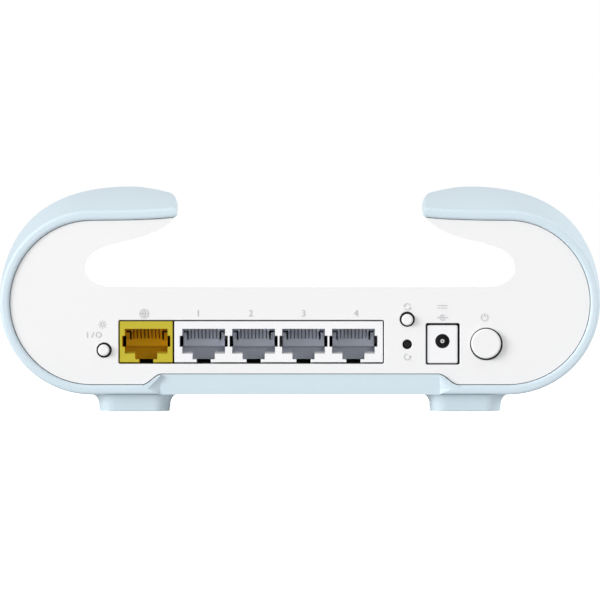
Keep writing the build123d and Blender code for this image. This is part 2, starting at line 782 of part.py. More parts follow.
def on_window(point):
    """Whether an edge's middle lies on the panel's face, in the band that holds the windows."""
    at_face = abs(point.Y - PANEL_FACE) < EDGE_BREAK / 2
    in_band = STRIP_TOP + MARGIN < point.Z < DECK_Z - MARGIN
    return at_face and in_band and abs(point.X) < RIM_ARC_X


def make_housing_screws():
    """Four screws that pull the cover down onto the shell."""
    seat = FLOOR_BOTTOM + SCREW_HEAD_DEPTH
    screws = []
    for x, y in screw_places():
        head = post(x, y, seat - SCREW_HEAD_HEIGHT, seat, SCREW_HEAD_RADIUS)
        shank = post(x, y, seat, seat + SCREW_LENGTH, SCREW_RADIUS)
        screws.append(head + shank)
    return screws


# Main board


def make_main_board():
    """Circuit board with holes for its screws and for the cover's bosses."""
    outline = RectangleRounded(2 * BOARD_HALF, BOARD_LENGTH, BOARD_CORNER)
    board = extrude(Pos(0, BOARD_REAR + BOARD_LENGTH / 2, BOARD_BOTTOM) * outline, amount=BOARD_THICK)
    low, high = BOARD_BOTTOM - MARGIN, BOARD_TOP + MARGIN
    for x, y in screw_places():
        board = board - post(x, y, low, high, COVER_BOSS_RADIUS + BOSS_CLEARANCE)
    for x, y in board_screw_places():
        board = board - post(x, y, low, high, BOARD_SCREW_RADIUS + SCREW_CLEARANCE)
    return board


def make_board_screws():
    screws = []
    for x, y in board_screw_places():
        head = post(x, y, BOARD_TOP, BOARD_TOP + BOARD_HEAD_HEIGHT, BOARD_HEAD_RADIUS)
        shank = post(x, y, BOARD_TOP - BOARD_SCREW_LENGTH, BOARD_TOP, BOARD_SCREW_RADIUS)
        screws.append(head + shank)
    return screws


def chip(x, y, width, length, height):
    """A flat part soldered to the top of the board."""
    return Pos(x, y, BOARD_TOP + height / 2) * Box(width, length, height)


def beside(width):
    """How far out from the processor's middle its neighbour of a width sits."""
    return PROCESSOR_SIZE / 2 + CHIP_GAP + width / 2


def make_heat_sink():
    """Finned heat sink on the processor's thermal pad."""
    base = BOARD_TOP + PROCESSOR_THICK + PAD_THICK
    half = SINK_SIZE / 2
    sink = block(-half, half, PROCESSOR_Y - half, PROCESSOR_Y + half, base, base + SINK_BASE)
    gap = (SINK_SIZE - SINK_FIN_THICK) / (SINK_FIN_COUNT - 1)
    for index in range(SINK_FIN_COUNT):
        left = -half + index * gap
        sink = sink + block(
            left,
            left + SINK_FIN_THICK,
            PROCESSOR_Y - half,
            PROCESSOR_Y + half,
            base + SINK_BASE,
            base + SINK_BASE + SINK_FIN_HEIGHT,
        )
    return sink


def shield_can(x):
    """A pressed metal lid over one radio circuit, open to the board."""
    can = chip(x, SHIELD_Y, SHIELD_WIDTH, SHIELD_LENGTH, SHIELD_HEIGHT)
    inner = chip(
        x,
        SHIELD_Y,
        SHIELD_WIDTH - 2 * SHIELD_WALL,
        SHIELD_LENGTH - 2 * SHIELD_WALL,
        SHIELD_HEIGHT - SHIELD_WALL,
    )
    return can - inner


def make_lan_transformers():
    offset = LAN_TRANSFORMER_WIDTH / 2 + MARGIN
    return [transformer(LAN_X + side * offset, LAN_TRANSFORMER_WIDTH) for side in (-1, 1)]


def transformer(x, width):
    """Line transformer behind the sockets."""
    return chip(x, TRANSFORMER_Y, width, TRANSFORMER_DEPTH, TRANSFORMER_HEIGHT)


def make_capacitors():
    """Round capacitors beside the power inlet."""
    top = BOARD_TOP + CAPACITOR_HEIGHT
    return [post(x, y, BOARD_TOP, top, CAPACITOR_RADIUS) for x, y in CAPACITOR_PLACES]


def make_inductors():
    return [chip(x, y, INDUCTOR_SIZE, INDUCTOR_SIZE, INDUCTOR_HEIGHT) for x, y in INDUCTOR_PLACES]


# Network sockets


def socket_cut(x):
    """The plug's way into one socket: the bay, its latch slot and the ears at its sides."""
    front = SOCKET_FACE - MARGIN
    back = SOCKET_FACE + SOCKET_DEPTH
    through = SOCKET_FACE + SOCKET_BODY_DEPTH + MARGIN
    floor = BOARD_TOP + SOCKET_FLOOR
    half = SOCKET_WIDTH / 2
    bay = block(x - half, x + half, front, back - LEDGE_DEPTH, floor, floor + SOCKET_HEIGHT)
    under_ledge = block(x - half, x + half, front, back, floor, floor + LEDGE_RISE)
    latch_half = LATCH_WIDTH / 2
    latch = block(x - latch_half, x + latch_half, front, back, floor - LATCH_DROP, floor + LEDGE_RISE)
    neck_half = LATCH_NECK / 2
    neck = block(x - neck_half, x + neck_half, front, through, BOARD_TOP - MARGIN, floor - LATCH_DROP)
    cut = bay + under_ledge + latch + neck
    ear_floor = floor + EAR_FLOOR
    for side in (-1, 1):
        inner, outer = sorted((side * (half - EAR_DEPTH / 4), side * (half + EAR_DEPTH)))
        cut = cut + block(x + inner, x + outer, front, through, ear_floor, ear_floor + EAR_HEIGHT)
    return cut


def key_slots(x):
    """T-shaped slots through the back wall, one at each end of the row of contacts."""
    front = SOCKET_FACE + SOCKET_DEPTH - LEDGE_DEPTH - MARGIN
    through = SOCKET_FACE + SOCKET_BODY_DEPTH + MARGIN
    roof = BOARD_TOP + SOCKET_FLOOR + SOCKET_HEIGHT
    cuts = []
    for side in (-1, 1):
        middle = x + side * KEY_SLOT_X
        bar_top = roof - KEY_BAR_DROP
        for width, low, high in (
            (KEY_SLOT_WIDTH, roof - KEY_SLOT_HEIGHT, bar_top),
            (KEY_BAR_WIDTH, bar_top - KEY_BAR_HEIGHT, bar_top),
        ):
            cuts.append(block(middle - width / 2, middle + width / 2, front, through, low, high))
    return cuts


def comb(x):
    """Ribs of the socket body that part the contacts."""
    roof = BOARD_TOP + SOCKET_FLOOR + SOCKET_HEIGHT
    ribs = []
    for index in range(CONTACT_COUNT + 1):
        rib_x = x + (index - CONTACT_COUNT / 2) * CONTACT_PITCH
        ribs.append(
            block(
                rib_x - COMB_WIDTH / 2,
                rib_x + COMB_WIDTH / 2,
                SOCKET_FACE + COMB_SETBACK,
                SOCKET_FACE + SOCKET_DEPTH,
                roof - COMB_HEIGHT,
                roof + MARGIN / 2,
            )
        )
    return ribs


def contacts(x):
    """The spring wires of one socket: down from the roof, then back along the bay."""
    start = SOCKET_FACE + CONTACT_SETBACK
    roof = BOARD_TOP + SOCKET_FLOOR + SOCKET_HEIGHT
    side = Polyline(
        (start, roof),
        (start + CONTACT_RUN, roof - CONTACT_DIP),
        (start + CONTACT_RUN, roof - CONTACT_DIP - CONTACT_THICK),
        (start - CONTACT_THICK, roof - CONTACT_THICK),
        (start - CONTACT_THICK, roof),
        close=True,
    )
    wires = []
    for index in range(CONTACT_COUNT):
        wire_x = x + (index - (CONTACT_COUNT - 1) / 2) * CONTACT_PITCH
        plane = Plane(origin=(wire_x - CONTACT_WIDTH / 2, 0, 0), x_dir=(0, 1, 0), z_dir=(1, 0, 0))
        wires.append(extrude(plane * make_face(side), amount=CONTACT_WIDTH))
    return wires


def socket_body(centre, width, ports):
    """A moulded socket body with one bay for each port."""
    body = block(
        centre - width / 2,
        centre + width / 2,
        SOCKET_FACE,
        SOCKET_FACE + SOCKET_BODY_DEPTH,
        BOARD_TOP,
        BOARD_TOP + SOCKET_BODY_HEIGHT,
    )
    step_end = SOCKET_FACE + SOCKET_STEP_DEPTH
    body = body - block(-REACH, REACH, 0, step_end, BOARD_TOP - MARGIN, BOARD_TOP + SOCKET_STEP)
    for x in ports:
        body = body - socket_cut(x) - key_slots(x)
    for x in ports:
        body = body + comb(x)
    return body


def lan_ports():
    return [LAN_X + (index - (LAN_COUNT - 1) / 2) * SOCKET_PITCH for index in range(LAN_COUNT)]


# Power inlet


def inlet_axis_z():
    return BOARD_TOP + INLET_BORE_Z


def inlet_block(shift, grow, start, end):
    """The inlet's outline as a bar, or moved and grown by a gap as the window for it."""
    x = INLET_X + shift
    half = INLET_WIDTH / 2 + grow
    low = BOARD_TOP + shift - grow
    return rounded_bar(x - half, x + half, start, end, low, low + INLET_HEIGHT + 2 * grow)


def make_inlet_body():
    face = PANEL_FACE + INLET_RECESS
    body = inlet_block(0, 0, face, face + INLET_DEPTH)
    body = fillet(body.faces().sort_by(Axis.Y)[0].edges(), INLET_EDGE)
    z = inlet_axis_z()
    body = body - rod_along_y(INLET_X, z, face - MARGIN, face + INLET_BORE_DEPTH, INLET_BORE_RADIUS)
    pin_back = face + INLET_DEPTH
    return body - rod_along_y(INLET_X, z, face, pin_back + MARGIN, INLET_PIN_RADIUS) - make_inlet_leaf()


def make_inlet_pin():
    face = PANEL_FACE + INLET_RECESS
    pin = rod_along_y(INLET_X, inlet_axis_z(), face + INLET_PIN_SHORT, face + INLET_DEPTH, INLET_PIN_RADIUS)
    tip = pin.edges().sort_by(Axis.Y)[0]
    return chamfer(tip, INLET_PIN_CHAMFER)


def make_inlet_leaf():
    """Flat spring in the bore's floor that meets the outside of the plug."""
    face = PANEL_FACE + INLET_RECESS
    top = inlet_axis_z() - INLET_BORE_RADIUS + INLET_LEAF_THICK / 2
    return block(
        INLET_X - INLET_LEAF_WIDTH / 2,
        INLET_X + INLET_LEAF_WIDTH / 2,
        face + INLET_BORE_DEPTH / 3,
        face + INLET_BORE_DEPTH,
        top - INLET_LEAF_THICK,
        top,
    )


# Buttons and switches


def button_cap(x, z, radius, gap, proud):
    """A round cap with a crowned face and a collar that stays behind the panel."""
    face = PANEL_FACE - proud
    cap = rod_along_y(x, z, face, COLLAR_BACK, radius)
    cap = fillet(cap.edges().sort_by(Axis.Y)[0], BUTTON_CROWN)
    return cap + rod_along_y(x, z, COLLAR_FACE, COLLAR_BACK, radius + gap + COLLAR_EXTRA)


def tact_body(x, z, base, top, depth):
    """A small push switch with a blind hole for its stem."""
    body = block(x - TACT_SIZE / 2, x + TACT_SIZE / 2, TACT_FACE, TACT_FACE + depth, base, top)
    hole = STEM_RADIUS + STEM_CLEARANCE
    sink = STEM_SINK + SMALL_TRAVEL + STEM_CLEARANCE
    return body - rod_along_y(x, z, TACT_FACE - MARGIN, TACT_FACE + sink, hole)


def tact_stem(x, z, start):
    """The switch's own stem, from where it is pressed to inside the switch."""
    return rod_along_y(x, z, start, TACT_FACE + STEM_SINK, STEM_RADIUS)


def button_board_y():
    return TACT_FACE + TACT_THICK


def make_button_board():
    """Small upright board that carries the two stacked switches."""
    y = button_board_y()
    top = BOARD_TOP + WPS_Z + BUTTON_BOARD_OVER
    return block(
        WPS_X - BUTTON_BOARD_WIDTH / 2,
        WPS_X + BUTTON_BOARD_WIDTH / 2,
        y,
        y + BUTTON_BOARD_THICK,
        BOARD_TOP,
        top,
    )


def power_switch_face():
    return COLLAR_BACK + POWER_TRAVEL + STEM_LENGTH


def make_power_switch():
    """Push-push switch with a square hole for its plunger."""
    face = power_switch_face()
    z = BOARD_TOP + POWER_Z
    half = POWER_SWITCH_SIZE / 2
    body = block(POWER_X - half, POWER_X + half, face, face + POWER_SWITCH_DEPTH, BOARD_TOP, z + half)
    hole = PLUNGER_SIZE / 2 + STEM_CLEARANCE
    sink = face + POWER_SWITCH_DEPTH / 2
    return body - block(POWER_X - hole, POWER_X + hole, face - MARGIN, sink, z - hole, z + hole)


def make_power_plunger():
    z = BOARD_TOP + POWER_Z
    half = PLUNGER_SIZE / 2
    end = power_switch_face() + POWER_SWITCH_DEPTH / 2 - POWER_TRAVEL - 2 * STEM_CLEARANCE
    return block(POWER_X - half, POWER_X + half, COLLAR_BACK, end, z - half, z + half)


# Status light


def make_light_pipe(body):
    """Clear pipe from the light on the board up to a slot in the deck, flush with its top."""
    shoulder = SECTIONS[-1].deck_z - COVER_WALL
    base = BOARD_TOP + LED_CHIP_HEIGHT + LIGHT_GAP
    lens = lens_slot(0, shoulder - LENS_DEPTH, DECK_Z + CURL_RISE) & body
    half = LIGHT_PIPE_WIDTH / 2
    stem = block(
        -half, half, LENS_Y - LENS_WIDTH / 2, LENS_Y + LENS_WIDTH / 2, base, shoulder - LENS_DEPTH / 2
    )
    return lens + stem


def make_status_led():
    return chip(0, LENS_Y, LED_CHIP_LENGTH, LED_CHIP_WIDTH, LED_CHIP_HEIGHT)


# Antennas


def antenna(side, y):
    """Flat antenna board, upright in the ribs of one wing."""
    base = FLOOR_TOP + ANTENNA_BASE
    return block(
        side * ANTENNA_X - ANTENNA_THICK / 2,
        side * ANTENNA_X + ANTENNA_THICK / 2,
        y - ANTENNA_LENGTH / 2,
        y + ANTENNA_LENGTH / 2,
        base,
        base + ANTENNA_HEIGHT,
    )


def connector_places():
    return [(side, y) for side in (-1, 1) for y in ANTENNA_Y]


def make_connectors():
    return [
        chip(side * CONNECTOR_X, y, CONNECTOR_SIZE, CONNECTOR_SIZE, CONNECTOR_HEIGHT)
        for side, y in connector_places()
    ]


def coax(side, y):
    """Thin lead from a board connector out to the side and up to its antenna."""
    start_x = CONNECTOR_X + CONNECTOR_SIZE / 2
    start_z = BOARD_TOP + CONNECTOR_HEIGHT / 2
    end_x = ANTENNA_X - ANTENNA_THICK / 2 - COAX_RADIUS - RIB_SLOT_GAP / 2
    end_z = FLOOR_TOP + ANTENNA_BASE + COAX_TAIL
    route = FilletPolyline(
        (side * start_x, y, start_z),
        (side * end_x, y, start_z),
        (side * end_x, y, end_z),
        radius=COAX_BEND,
    )
    plane = Plane(origin=route @ 0, z_dir=route % 0)
    return sweep(plane * Circle(COAX_RADIUS), path=route)


# Assembly


def make_parts():
    """Every piece under its node's name, in the modelling frame."""
    body = inner_body()
    led_z = BOARD_TOP + LED_Z
    wps_z = BOARD_TOP + WPS_Z
    reset_z = BOARD_TOP + RESET_Z
    half = TACT_SIZE / 2
    lan = lan_ports()
    parts = {
        "outer_shell": make_outer_shell(),
        "top_cover": make_top_cover(body),
        "rear_panel": make_rear_panel(body),
        "rubber_feet": make_rubber_feet(),
        "housing_screws": make_housing_screws(),
        "main_board": make_main_board(),
        "board_screws": make_board_screws(),
        "wan_socket": socket_body(WAN_X, WAN_BODY_WIDTH, [WAN_X]),
        "wan_contacts": contacts(WAN_X),
        "lan_sockets": socket_body(LAN_X, LAN_BODY_WIDTH, lan),
        "lan_contacts": [wire for x in lan for wire in contacts(x)],
        "power_inlet": make_inlet_body(),
        "inlet_pin": make_inlet_pin(),
        "inlet_spring": make_inlet_leaf(),
        "power_button": button_cap(POWER_X, BOARD_TOP + POWER_Z, POWER_RADIUS, POWER_GAP, POWER_PROUD),
        "power_switch": make_power_switch(),
        "power_plunger": make_power_plunger(),
        "led_button": button_cap(LED_X, led_z, SMALL_RADIUS, SMALL_GAP, SMALL_PROUD),
        "led_switch": tact_body(LED_X, led_z, BOARD_TOP, led_z + half, TACT_THICK),
        "led_stem": tact_stem(LED_X, led_z, COLLAR_BACK),
        "wps_button": button_cap(WPS_X, wps_z, SMALL_RADIUS, SMALL_GAP, SMALL_PROUD),
        "wps_switch": tact_body(WPS_X, wps_z, wps_z - half, wps_z + half, TACT_THICK),
        "wps_stem": tact_stem(WPS_X, wps_z, COLLAR_BACK),
        "reset_switch": tact_body(WPS_X, reset_z, reset_z - half, reset_z + half, TACT_THICK),
        "reset_stem": tact_stem(WPS_X, reset_z, COLLAR_FACE),
        "button_board": make_button_board(),
        "processor": chip(0, PROCESSOR_Y, PROCESSOR_SIZE, PROCESSOR_SIZE, PROCESSOR_THICK),
        "thermal_pad": Pos(0, 0, PROCESSOR_THICK)
        * chip(0, PROCESSOR_Y, PROCESSOR_SIZE, PROCESSOR_SIZE, PAD_THICK),
        "heat_sink": make_heat_sink(),
        "memory_chip": chip(-beside(MEMORY_WIDTH), PROCESSOR_Y, MEMORY_WIDTH, MEMORY_LENGTH, CHIP_THICK),
        "flash_chip": chip(beside(FLASH_SIZE), PROCESSOR_Y, FLASH_SIZE, FLASH_SIZE, CHIP_THICK),
        "switch_chip": chip(SWITCH_CHIP_X, PROCESSOR_Y, SWITCH_CHIP_SIZE, SWITCH_CHIP_SIZE, CHIP_THICK),
        "wan_transformer": transformer(WAN_X, WAN_TRANSFORMER_WIDTH),
        "lan_transformers": make_lan_transformers(),
        "left_radio_shield": shield_can(-SHIELD_X),
        "right_radio_shield": shield_can(SHIELD_X),
        "capacitors": make_capacitors(),
        "inductors": make_inductors(),
        "status_led": make_status_led(),
        "light_pipe": make_light_pipe(body),
        "antenna_connectors": make_connectors(),
    }
    names = {-1: "left", 1: "right"}
    ends = ("rear", "front")
    for side in (-1, 1):
        for end, y in zip(ends, ANTENNA_Y):
            parts[f"{names[side]}_{end}_antenna"] = antenna(side, y)
            parts[f"{names[side]}_{end}_antenna_lead"] = coax(side, y)
    return parts


def main():
    os.makedirs("parts", exist_ok=True)
    centre = Pos(0, -(FOREMOST_Y + DEPTH) / 2, 0)
    for name, shape in make_parts().items():
        solids = shape if isinstance(shape, list) else [shape]
        placed = Compound(children=[centre * solid for piece in solids for solid in piece.solids()])
        export_step(placed, f"parts/{name}.step")
        print(name, len(placed.solids()), round(placed.volume))


main()
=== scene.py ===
"""Looks of the wireless router: finishes, panel marks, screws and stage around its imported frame."""

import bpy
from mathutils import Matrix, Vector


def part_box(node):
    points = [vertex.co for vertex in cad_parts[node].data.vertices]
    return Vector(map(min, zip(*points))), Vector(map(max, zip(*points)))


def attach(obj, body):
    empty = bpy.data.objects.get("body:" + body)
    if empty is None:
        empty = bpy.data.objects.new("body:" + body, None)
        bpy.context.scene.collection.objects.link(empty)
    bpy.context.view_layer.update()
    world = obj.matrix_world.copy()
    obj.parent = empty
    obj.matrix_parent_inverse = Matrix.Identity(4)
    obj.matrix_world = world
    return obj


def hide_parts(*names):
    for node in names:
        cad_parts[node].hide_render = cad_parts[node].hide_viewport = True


bl_info = {
    "name": "Wireless router looks",
    "version": (1, 0, 0),
    "blender": (4, 5, 0),
    "location": "View3D > Sidebar > Router",
    "description": "Finishes, panel marks, screws and studio stage for a wireless router",
    "category": "Object",
}

import math

import bmesh
import bpy
from mathutils import Matrix, Vector

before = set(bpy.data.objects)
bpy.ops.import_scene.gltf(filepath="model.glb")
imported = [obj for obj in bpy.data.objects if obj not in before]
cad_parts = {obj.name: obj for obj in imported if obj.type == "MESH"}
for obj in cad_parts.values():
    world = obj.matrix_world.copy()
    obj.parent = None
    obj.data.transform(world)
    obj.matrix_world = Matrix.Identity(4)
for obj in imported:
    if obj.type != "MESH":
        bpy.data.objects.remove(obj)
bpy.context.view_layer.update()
MM = 0.001


def centre_of(node):
    """Middle of a CAD node's box."""
    low, high = (Vector(corner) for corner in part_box(node))
    return (low + high) / 2


def front_of(node):
    """How far towards the port side a CAD node reaches."""
    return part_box(node)[0][1]


PANEL_CENTRE = centre_of("rear_panel")
PANEL_FACE = front_of("rear_panel")
SOCKET_FACE = front_of("wan_socket")
INLET_FACE = front_of("power_inlet")
PIN_CENTRE = centre_of("inlet_pin")
LAN_COUNT = 4

# Depths between which painted shade darkens the recesses, behind the panel, the sockets and the inlet
PANEL_SHADE = (0.15 * MM, 0.9 * MM)
BUTTON_SHADE = (-0.1 * MM, 0.8 * MM)
BAY_SHADE = (0.05 * MM, 0.9 * MM)
LEDGE_SHADE = (11.2 * MM, 12.8 * MM)
INLET_SHADE = (0.3 * MM, 1.2 * MM)

# Painted shade: shares of the sockets' colours that are left below the ledge in a bay and on its ramps
LEDGE_PAINTED_SHADE = 0.92
RAMP_PAINTED_SHADE = 0.22

# Painted shade: dark bore of the power inlet, and the hole in the tip of its pin
BORE_RADIUS = 2.02 * MM
PIN_TIP_RADIUS = 0.24 * MM

# Finish of the sockets and the inlet, and of the light pipe
FINE_GRAIN = 3000.0
SOCKET_SHINE = 0.1
LENS_CLEARNESS = 0.35

# Colours of small and inner pieces, in linear values
FOOT_RUBBER = (0.50, 0.58, 0.64)
STEM_BLACK = (0.026, 0.026, 0.028)
SWITCH_BLACK = (0.02, 0.02, 0.022)
# Painted shade: the contacts' colours are dark, as contacts deep in the bays look
CONTACT_GOLD_PAINTED_SHADE = (0.20, 0.11, 0.03)
CONTACT_GREY_PAINTED_SHADE = (0.20, 0.21, 0.23)
BORE_PAINTED_SHADE = (0.045, 0.045, 0.047)
PIN_NICKEL = (0.80, 0.79, 0.77)
# Painted shade: the inlet's spring is coloured dark, as it looks deep in the bore
SPRING_PAINTED_SHADE = (0.06, 0.06, 0.062)
BOARD_GREEN = (0.01, 0.09, 0.04)
ANTENNA_TEAL = (0.012, 0.06, 0.09)
COPPER = (0.55, 0.40, 0.18)
CHIP_BLACK = (0.022, 0.022, 0.025)
PAD_BLUE = (0.33, 0.40, 0.55)
SINK_ALUMINIUM = (0.66, 0.67, 0.69)
SHIELD_TIN = (0.60, 0.60, 0.57)
CAN_GREY = (0.50, 0.52, 0.55)
FERRITE_GREY = (0.06, 0.06, 0.065)
BOARD_SCREW_STEEL = (0.62, 0.62, 0.64)
SCREW_STEEL = (0.60, 0.60, 0.62)
LENS_MILK = (0.86, 0.89, 0.92)
SHEATH_BLACK = (0.02, 0.02, 0.022)
CONNECTOR_GOLD = (0.72, 0.52, 0.22)
FLOOR_PALE = (0.45, 0.45, 0.45)


# Settings that a user would change


def colour_setting(name, description, default):
    """A colour, in linear values."""
    return bpy.props.FloatVectorProperty(
        name=name, description=description, default=default, size=3, min=0.0, max=1.0, subtype="COLOR"
    )


def length_setting(name, description, millimetres):
    """A length, given in millimetres and kept in metres."""
    return bpy.props.FloatProperty(
        name=name, description=description, default=millimetres * MM, min=0.0, precision=5, unit="LENGTH"
    )


class RouterFinishSettings(bpy.types.PropertyGroup):
    """Colours of the pieces that show."""

    shell_blue: colour_setting("Shell blue", "Wrap-around shell and feet", (0.56, 0.66, 0.724))
    cover_white: colour_setting("Cover white", "Cover, rear panel and buttons", (0.765, 0.765, 0.769))
    # Painted shade: the colour mixed in deep in the gaps round sockets and buttons, in the inlet and in the
    # pin's tip
    gap_painted_shade: colour_setting("Gap", "Deep inside the gaps round sockets and buttons", (0.012, 0.012, 0.014))
    wan_yellow: colour_setting("WAN face", "Front of the WAN socket", (0.485, 0.412, 0.036))
    # Painted shade and bounced light: the colour the WAN socket takes deep in its bay
    wan_bay_painted_shade: colour_setting("WAN bay", "Inside of the WAN socket", (0.92, 0.59, 0.01))
    lan_white: colour_setting("LAN face", "Front of the LAN sockets", (0.785, 0.785, 0.798))
    # Painted shade: the colour the LAN sockets take deep in their bays
    lan_bay_painted_shade: colour_setting("LAN bay", "Inside of the LAN sockets", (0.78, 0.80, 0.87))
    # Painted shade: grey that stands in for the shade on white raised marks
    mark_grey: colour_setting("Marks", "Raised numbers and signs on the panel", (0.50, 0.50, 0.52))


class RouterTongueSettings(bpy.types.PropertyGroup):
    """Tongues on the shell's front rim, behind its seam with the cover."""

    spacing: length_setting("Spacing", "Between the middles of the two tongues", 88.8)
    width: length_setting("Width", "Width of a tongue", 14.0)
    depth: length_setting("Depth", "Thickness of a tongue", 0.9)
    height: length_setting("Height", "Height of a tongue, with its root", 1.25)
    drop: length_setting("Drop", "How far a tongue's top slopes down", 0.4)
    foot: length_setting("Foot", "Height of a tongue's foot, just inside the rim", 7.4)
    setback: length_setting("Setback", "From the front of the shell to the middle of a tongue", 8.15)


class RouterSocketSettings(bpy.types.PropertyGroup):
    """Lead-in ramps in the lower corners of the socket bays."""

    pitch: length_setting("Pitch", "From one bay to the next", 13.97)
    floor: length_setting("Floor", "Thickness of the floor below a bay", 2.7)
    spacing: length_setting("Spacing", "Between the two ramps of a bay", 9.2)
    width: length_setting("Width", "Width of a ramp", 3.0)
    depth: length_setting("Depth", "Depth of a ramp", 0.9)
    height: length_setting("Height", "Height of a ramp, with its root", 0.65)
    root: length_setting("Root", "How far a ramp reaches into the bay's floor", 0.1)
    setback: length_setting("Setback", "From the socket's face to a ramp", 0.2)


class RouterMarkSettings(bpy.types.PropertyGroup):
    """Raised numbers and signs on the rear panel."""

    height: length_setting("Height", "Height of a number or sign", 1.8)
    line: length_setting("Line", "Width of a sign's lines", 0.2)
    rise: length_setting("Rise", "How far the marks stand off the panel", 0.12)
    root: length_setting("Root", "How far the marks reach into the panel", 0.05)


class RouterScrewSettings(bpy.types.PropertyGroup):
    """Housing screws in the underside."""

    head_radius: length_setting("Head radius", "Radius of a screw's head", 2.8)
    head_height: length_setting("Head height", "Height of a screw's head", 2.0)
    shank_radius: length_setting("Shank radius", "Radius of a screw's shank", 1.5)
    recess_width: length_setting("Recess width", "Width of one bar of the cross recess", 0.9)
    recess_length: length_setting("Recess length", "Length of one bar of the cross recess", 3.2)
    recess_depth: length_setting("Recess depth", "Depth of the cross recess", 1.1)


class RouterStageSettings(bpy.types.PropertyGroup):
    """Camera, floor and lights."""

    camera_distance: length_setting("Camera distance", "From the rear panel to the camera", 2000.0)
    eye_height: length_setting("Eye height", "Height of the camera above the floor", 31.2)
    frame_width: length_setting("Frame width", "Width of the picture at the rear panel", 167.82)
    floor_size: length_setting("Floor size", "Side of the square floor", 60000.0)
    fill_size: length_setting("Fill light size", "Side of the soft lights in front and at the right", 800.0)
    key_size: length_setting("Key light size", "Side of the large soft light at the left", 1800.0)


# Shader groups that several finishes share

NOISE_MIDDLE = 0.5
CLOUD_SCALE = 45.0
LINE_CONTRAST = 0.25
GRAIN_DEPTH = 0.05 * MM

# A Mix node's colour sockets, which stand after those of other kinds
MIX_FIRST = 6
MIX_SECOND = 7
MIX_RESULT = 2


def new_group(name, inputs, outputs):
    """An empty shader group with its sockets: (name, type, default) and (name, type)."""
    group = bpy.data.node_groups.new(name, "ShaderNodeTree")
    for label, kind, default in inputs:
        socket = group.interface.new_socket(name=label, in_out="INPUT", socket_type=f"NodeSocket{kind}")
        socket.default_value = default
    for label, kind in outputs:
        group.interface.new_socket(name=label, in_out="OUTPUT", socket_type=f"NodeSocket{kind}")
    ends = group.nodes.new("NodeGroupInput"), group.nodes.new("NodeGroupOutput")
    return group, ends[0].outputs, ends[1].inputs


def add(tree, kind, **settings):
    """A new node with some of its own settings."""
    made = tree.nodes.new(kind)
    for name, value in settings.items():
        setattr(made, name, value)
    return made


def feed(tree, socket, value):
    """Links a socket to another node's output, or sets its value."""
    if isinstance(value, bpy.types.NodeSocket):
        tree.links.new(value, socket)
    else:
        socket.default_value = value


def calculate(tree, operation, *values):
    """A Math node's result."""
    made = add(tree, "ShaderNodeMath", operation=operation)
    for socket, value in zip(made.inputs, values):
        feed(tree, socket, value)
    return made.outputs[0]


def calculate_vector(tree, operation, *values):
    """A Vector Math node's outputs."""
    made = add(tree, "ShaderNodeVectorMath", operation=operation)
    for socket, value in zip(made.inputs, values):
        feed(tree, socket, value)
    return made.outputs


def parts_of(tree, vector):
    """The X, Y and Z of a vector."""
    made = add(tree, "ShaderNodeSeparateXYZ")
    feed(tree, made.inputs["Vector"], vector)
    return made.outputs


def vector_of(tree, **parts):
    """A vector from its X, Y and Z."""
    made = add(tree, "ShaderNodeCombineXYZ")
    for axis, value in parts.items():
        feed(tree, made.inputs[axis], value)
    return made.outputs["Vector"]


def blend_colours(tree, share, first, second, mode="MIX"):
    """A Mix node's colour."""
    made = add(tree, "ShaderNodeMix", data_type="RGBA", blend_type=mode)
    feed(tree, made.inputs[0], share)
    feed(tree, made.inputs[MIX_FIRST], first)
    feed(tree, made.inputs[MIX_SECOND], second)
    return made.outputs[MIX_RESULT]


def object_place(tree):
    """The place on the piece, in metres."""
    return add(tree, "ShaderNodeTexCoord").outputs["Object"]


def noise(tree, place, scale, detail=2.0):
    """A Noise texture's value."""
    made = add(tree, "ShaderNodeTexNoise")
    feed(tree, made.inputs["Vector"], place)
    feed(tree, made.inputs["Scale"], scale)
    feed(tree, made.inputs["Detail"], detail)
    return made.outputs["Fac"]


def make_grain_group():
    """Fine spark-eroded grain with a faint cloudiness, as on moulded plastic."""
    group, given, result = new_group(
        "moulded grain",
        (
            ("Color", "Color", (0.8, 0.8, 0.8, 1.0)),
            ("Cloud", "Float", 0.02),
            ("Grain Scale", "Float", 2200.0),
            ("Roughness", "Float", 0.45),
            ("Roughness Range", "Float", 0.08),
        ),
        (("Color", "Color"), ("Roughness", "Float"), ("Height", "Float")),
    )
    place = object_place(group)
    grain = noise(group, place, given["Grain Scale"], detail=3.0)
    cloud = noise(group, place, CLOUD_SCALE, detail=3.0)
    lift = calculate(group, "SUBTRACT", cloud, NOISE_MIDDLE)
    tone = calculate(group, "MULTIPLY_ADD", lift, given["Cloud"], 1.0)
    feed(group, result["Color"], blend_colours(group, 1.0, given["Color"], tone, "MULTIPLY"))
    swing = calculate(group, "SUBTRACT", grain, NOISE_MIDDLE)
    rough = calculate(group, "MULTIPLY_ADD", swing, given["Roughness Range"], given["Roughness"])
    feed(group, result["Roughness"], rough)
    feed(group, result["Height"], grain)
    return group


def make_recess_group():
    """Darkens what lies behind a depth, as in gaps and bays that little light reaches."""
    group, given, result = new_group(
        "recess shade",
        (
            ("Color", "Color", (0.8, 0.8, 0.8, 1.0)),
            ("Deep Color", "Color", (0.0, 0.0, 0.0, 1.0)),
            ("Start", "Float", 0.0),
            ("End", "Float", 0.001),
        ),
        (("Color", "Color"), ("Mask", "Float")),
    )
    ramp = add(group, "ShaderNodeMapRange", interpolation_type="SMOOTHSTEP")
    feed(group, ramp.inputs["Value"], parts_of(group, object_place(group))["Y"])
    feed(group, ramp.inputs["From Min"], given["Start"])
    feed(group, ramp.inputs["From Max"], given["End"])
    mask = ramp.outputs["Result"]
    feed(group, result["Color"], blend_colours(group, mask, given["Color"], given["Deep Color"]))
    feed(group, result["Mask"], mask)
    return group


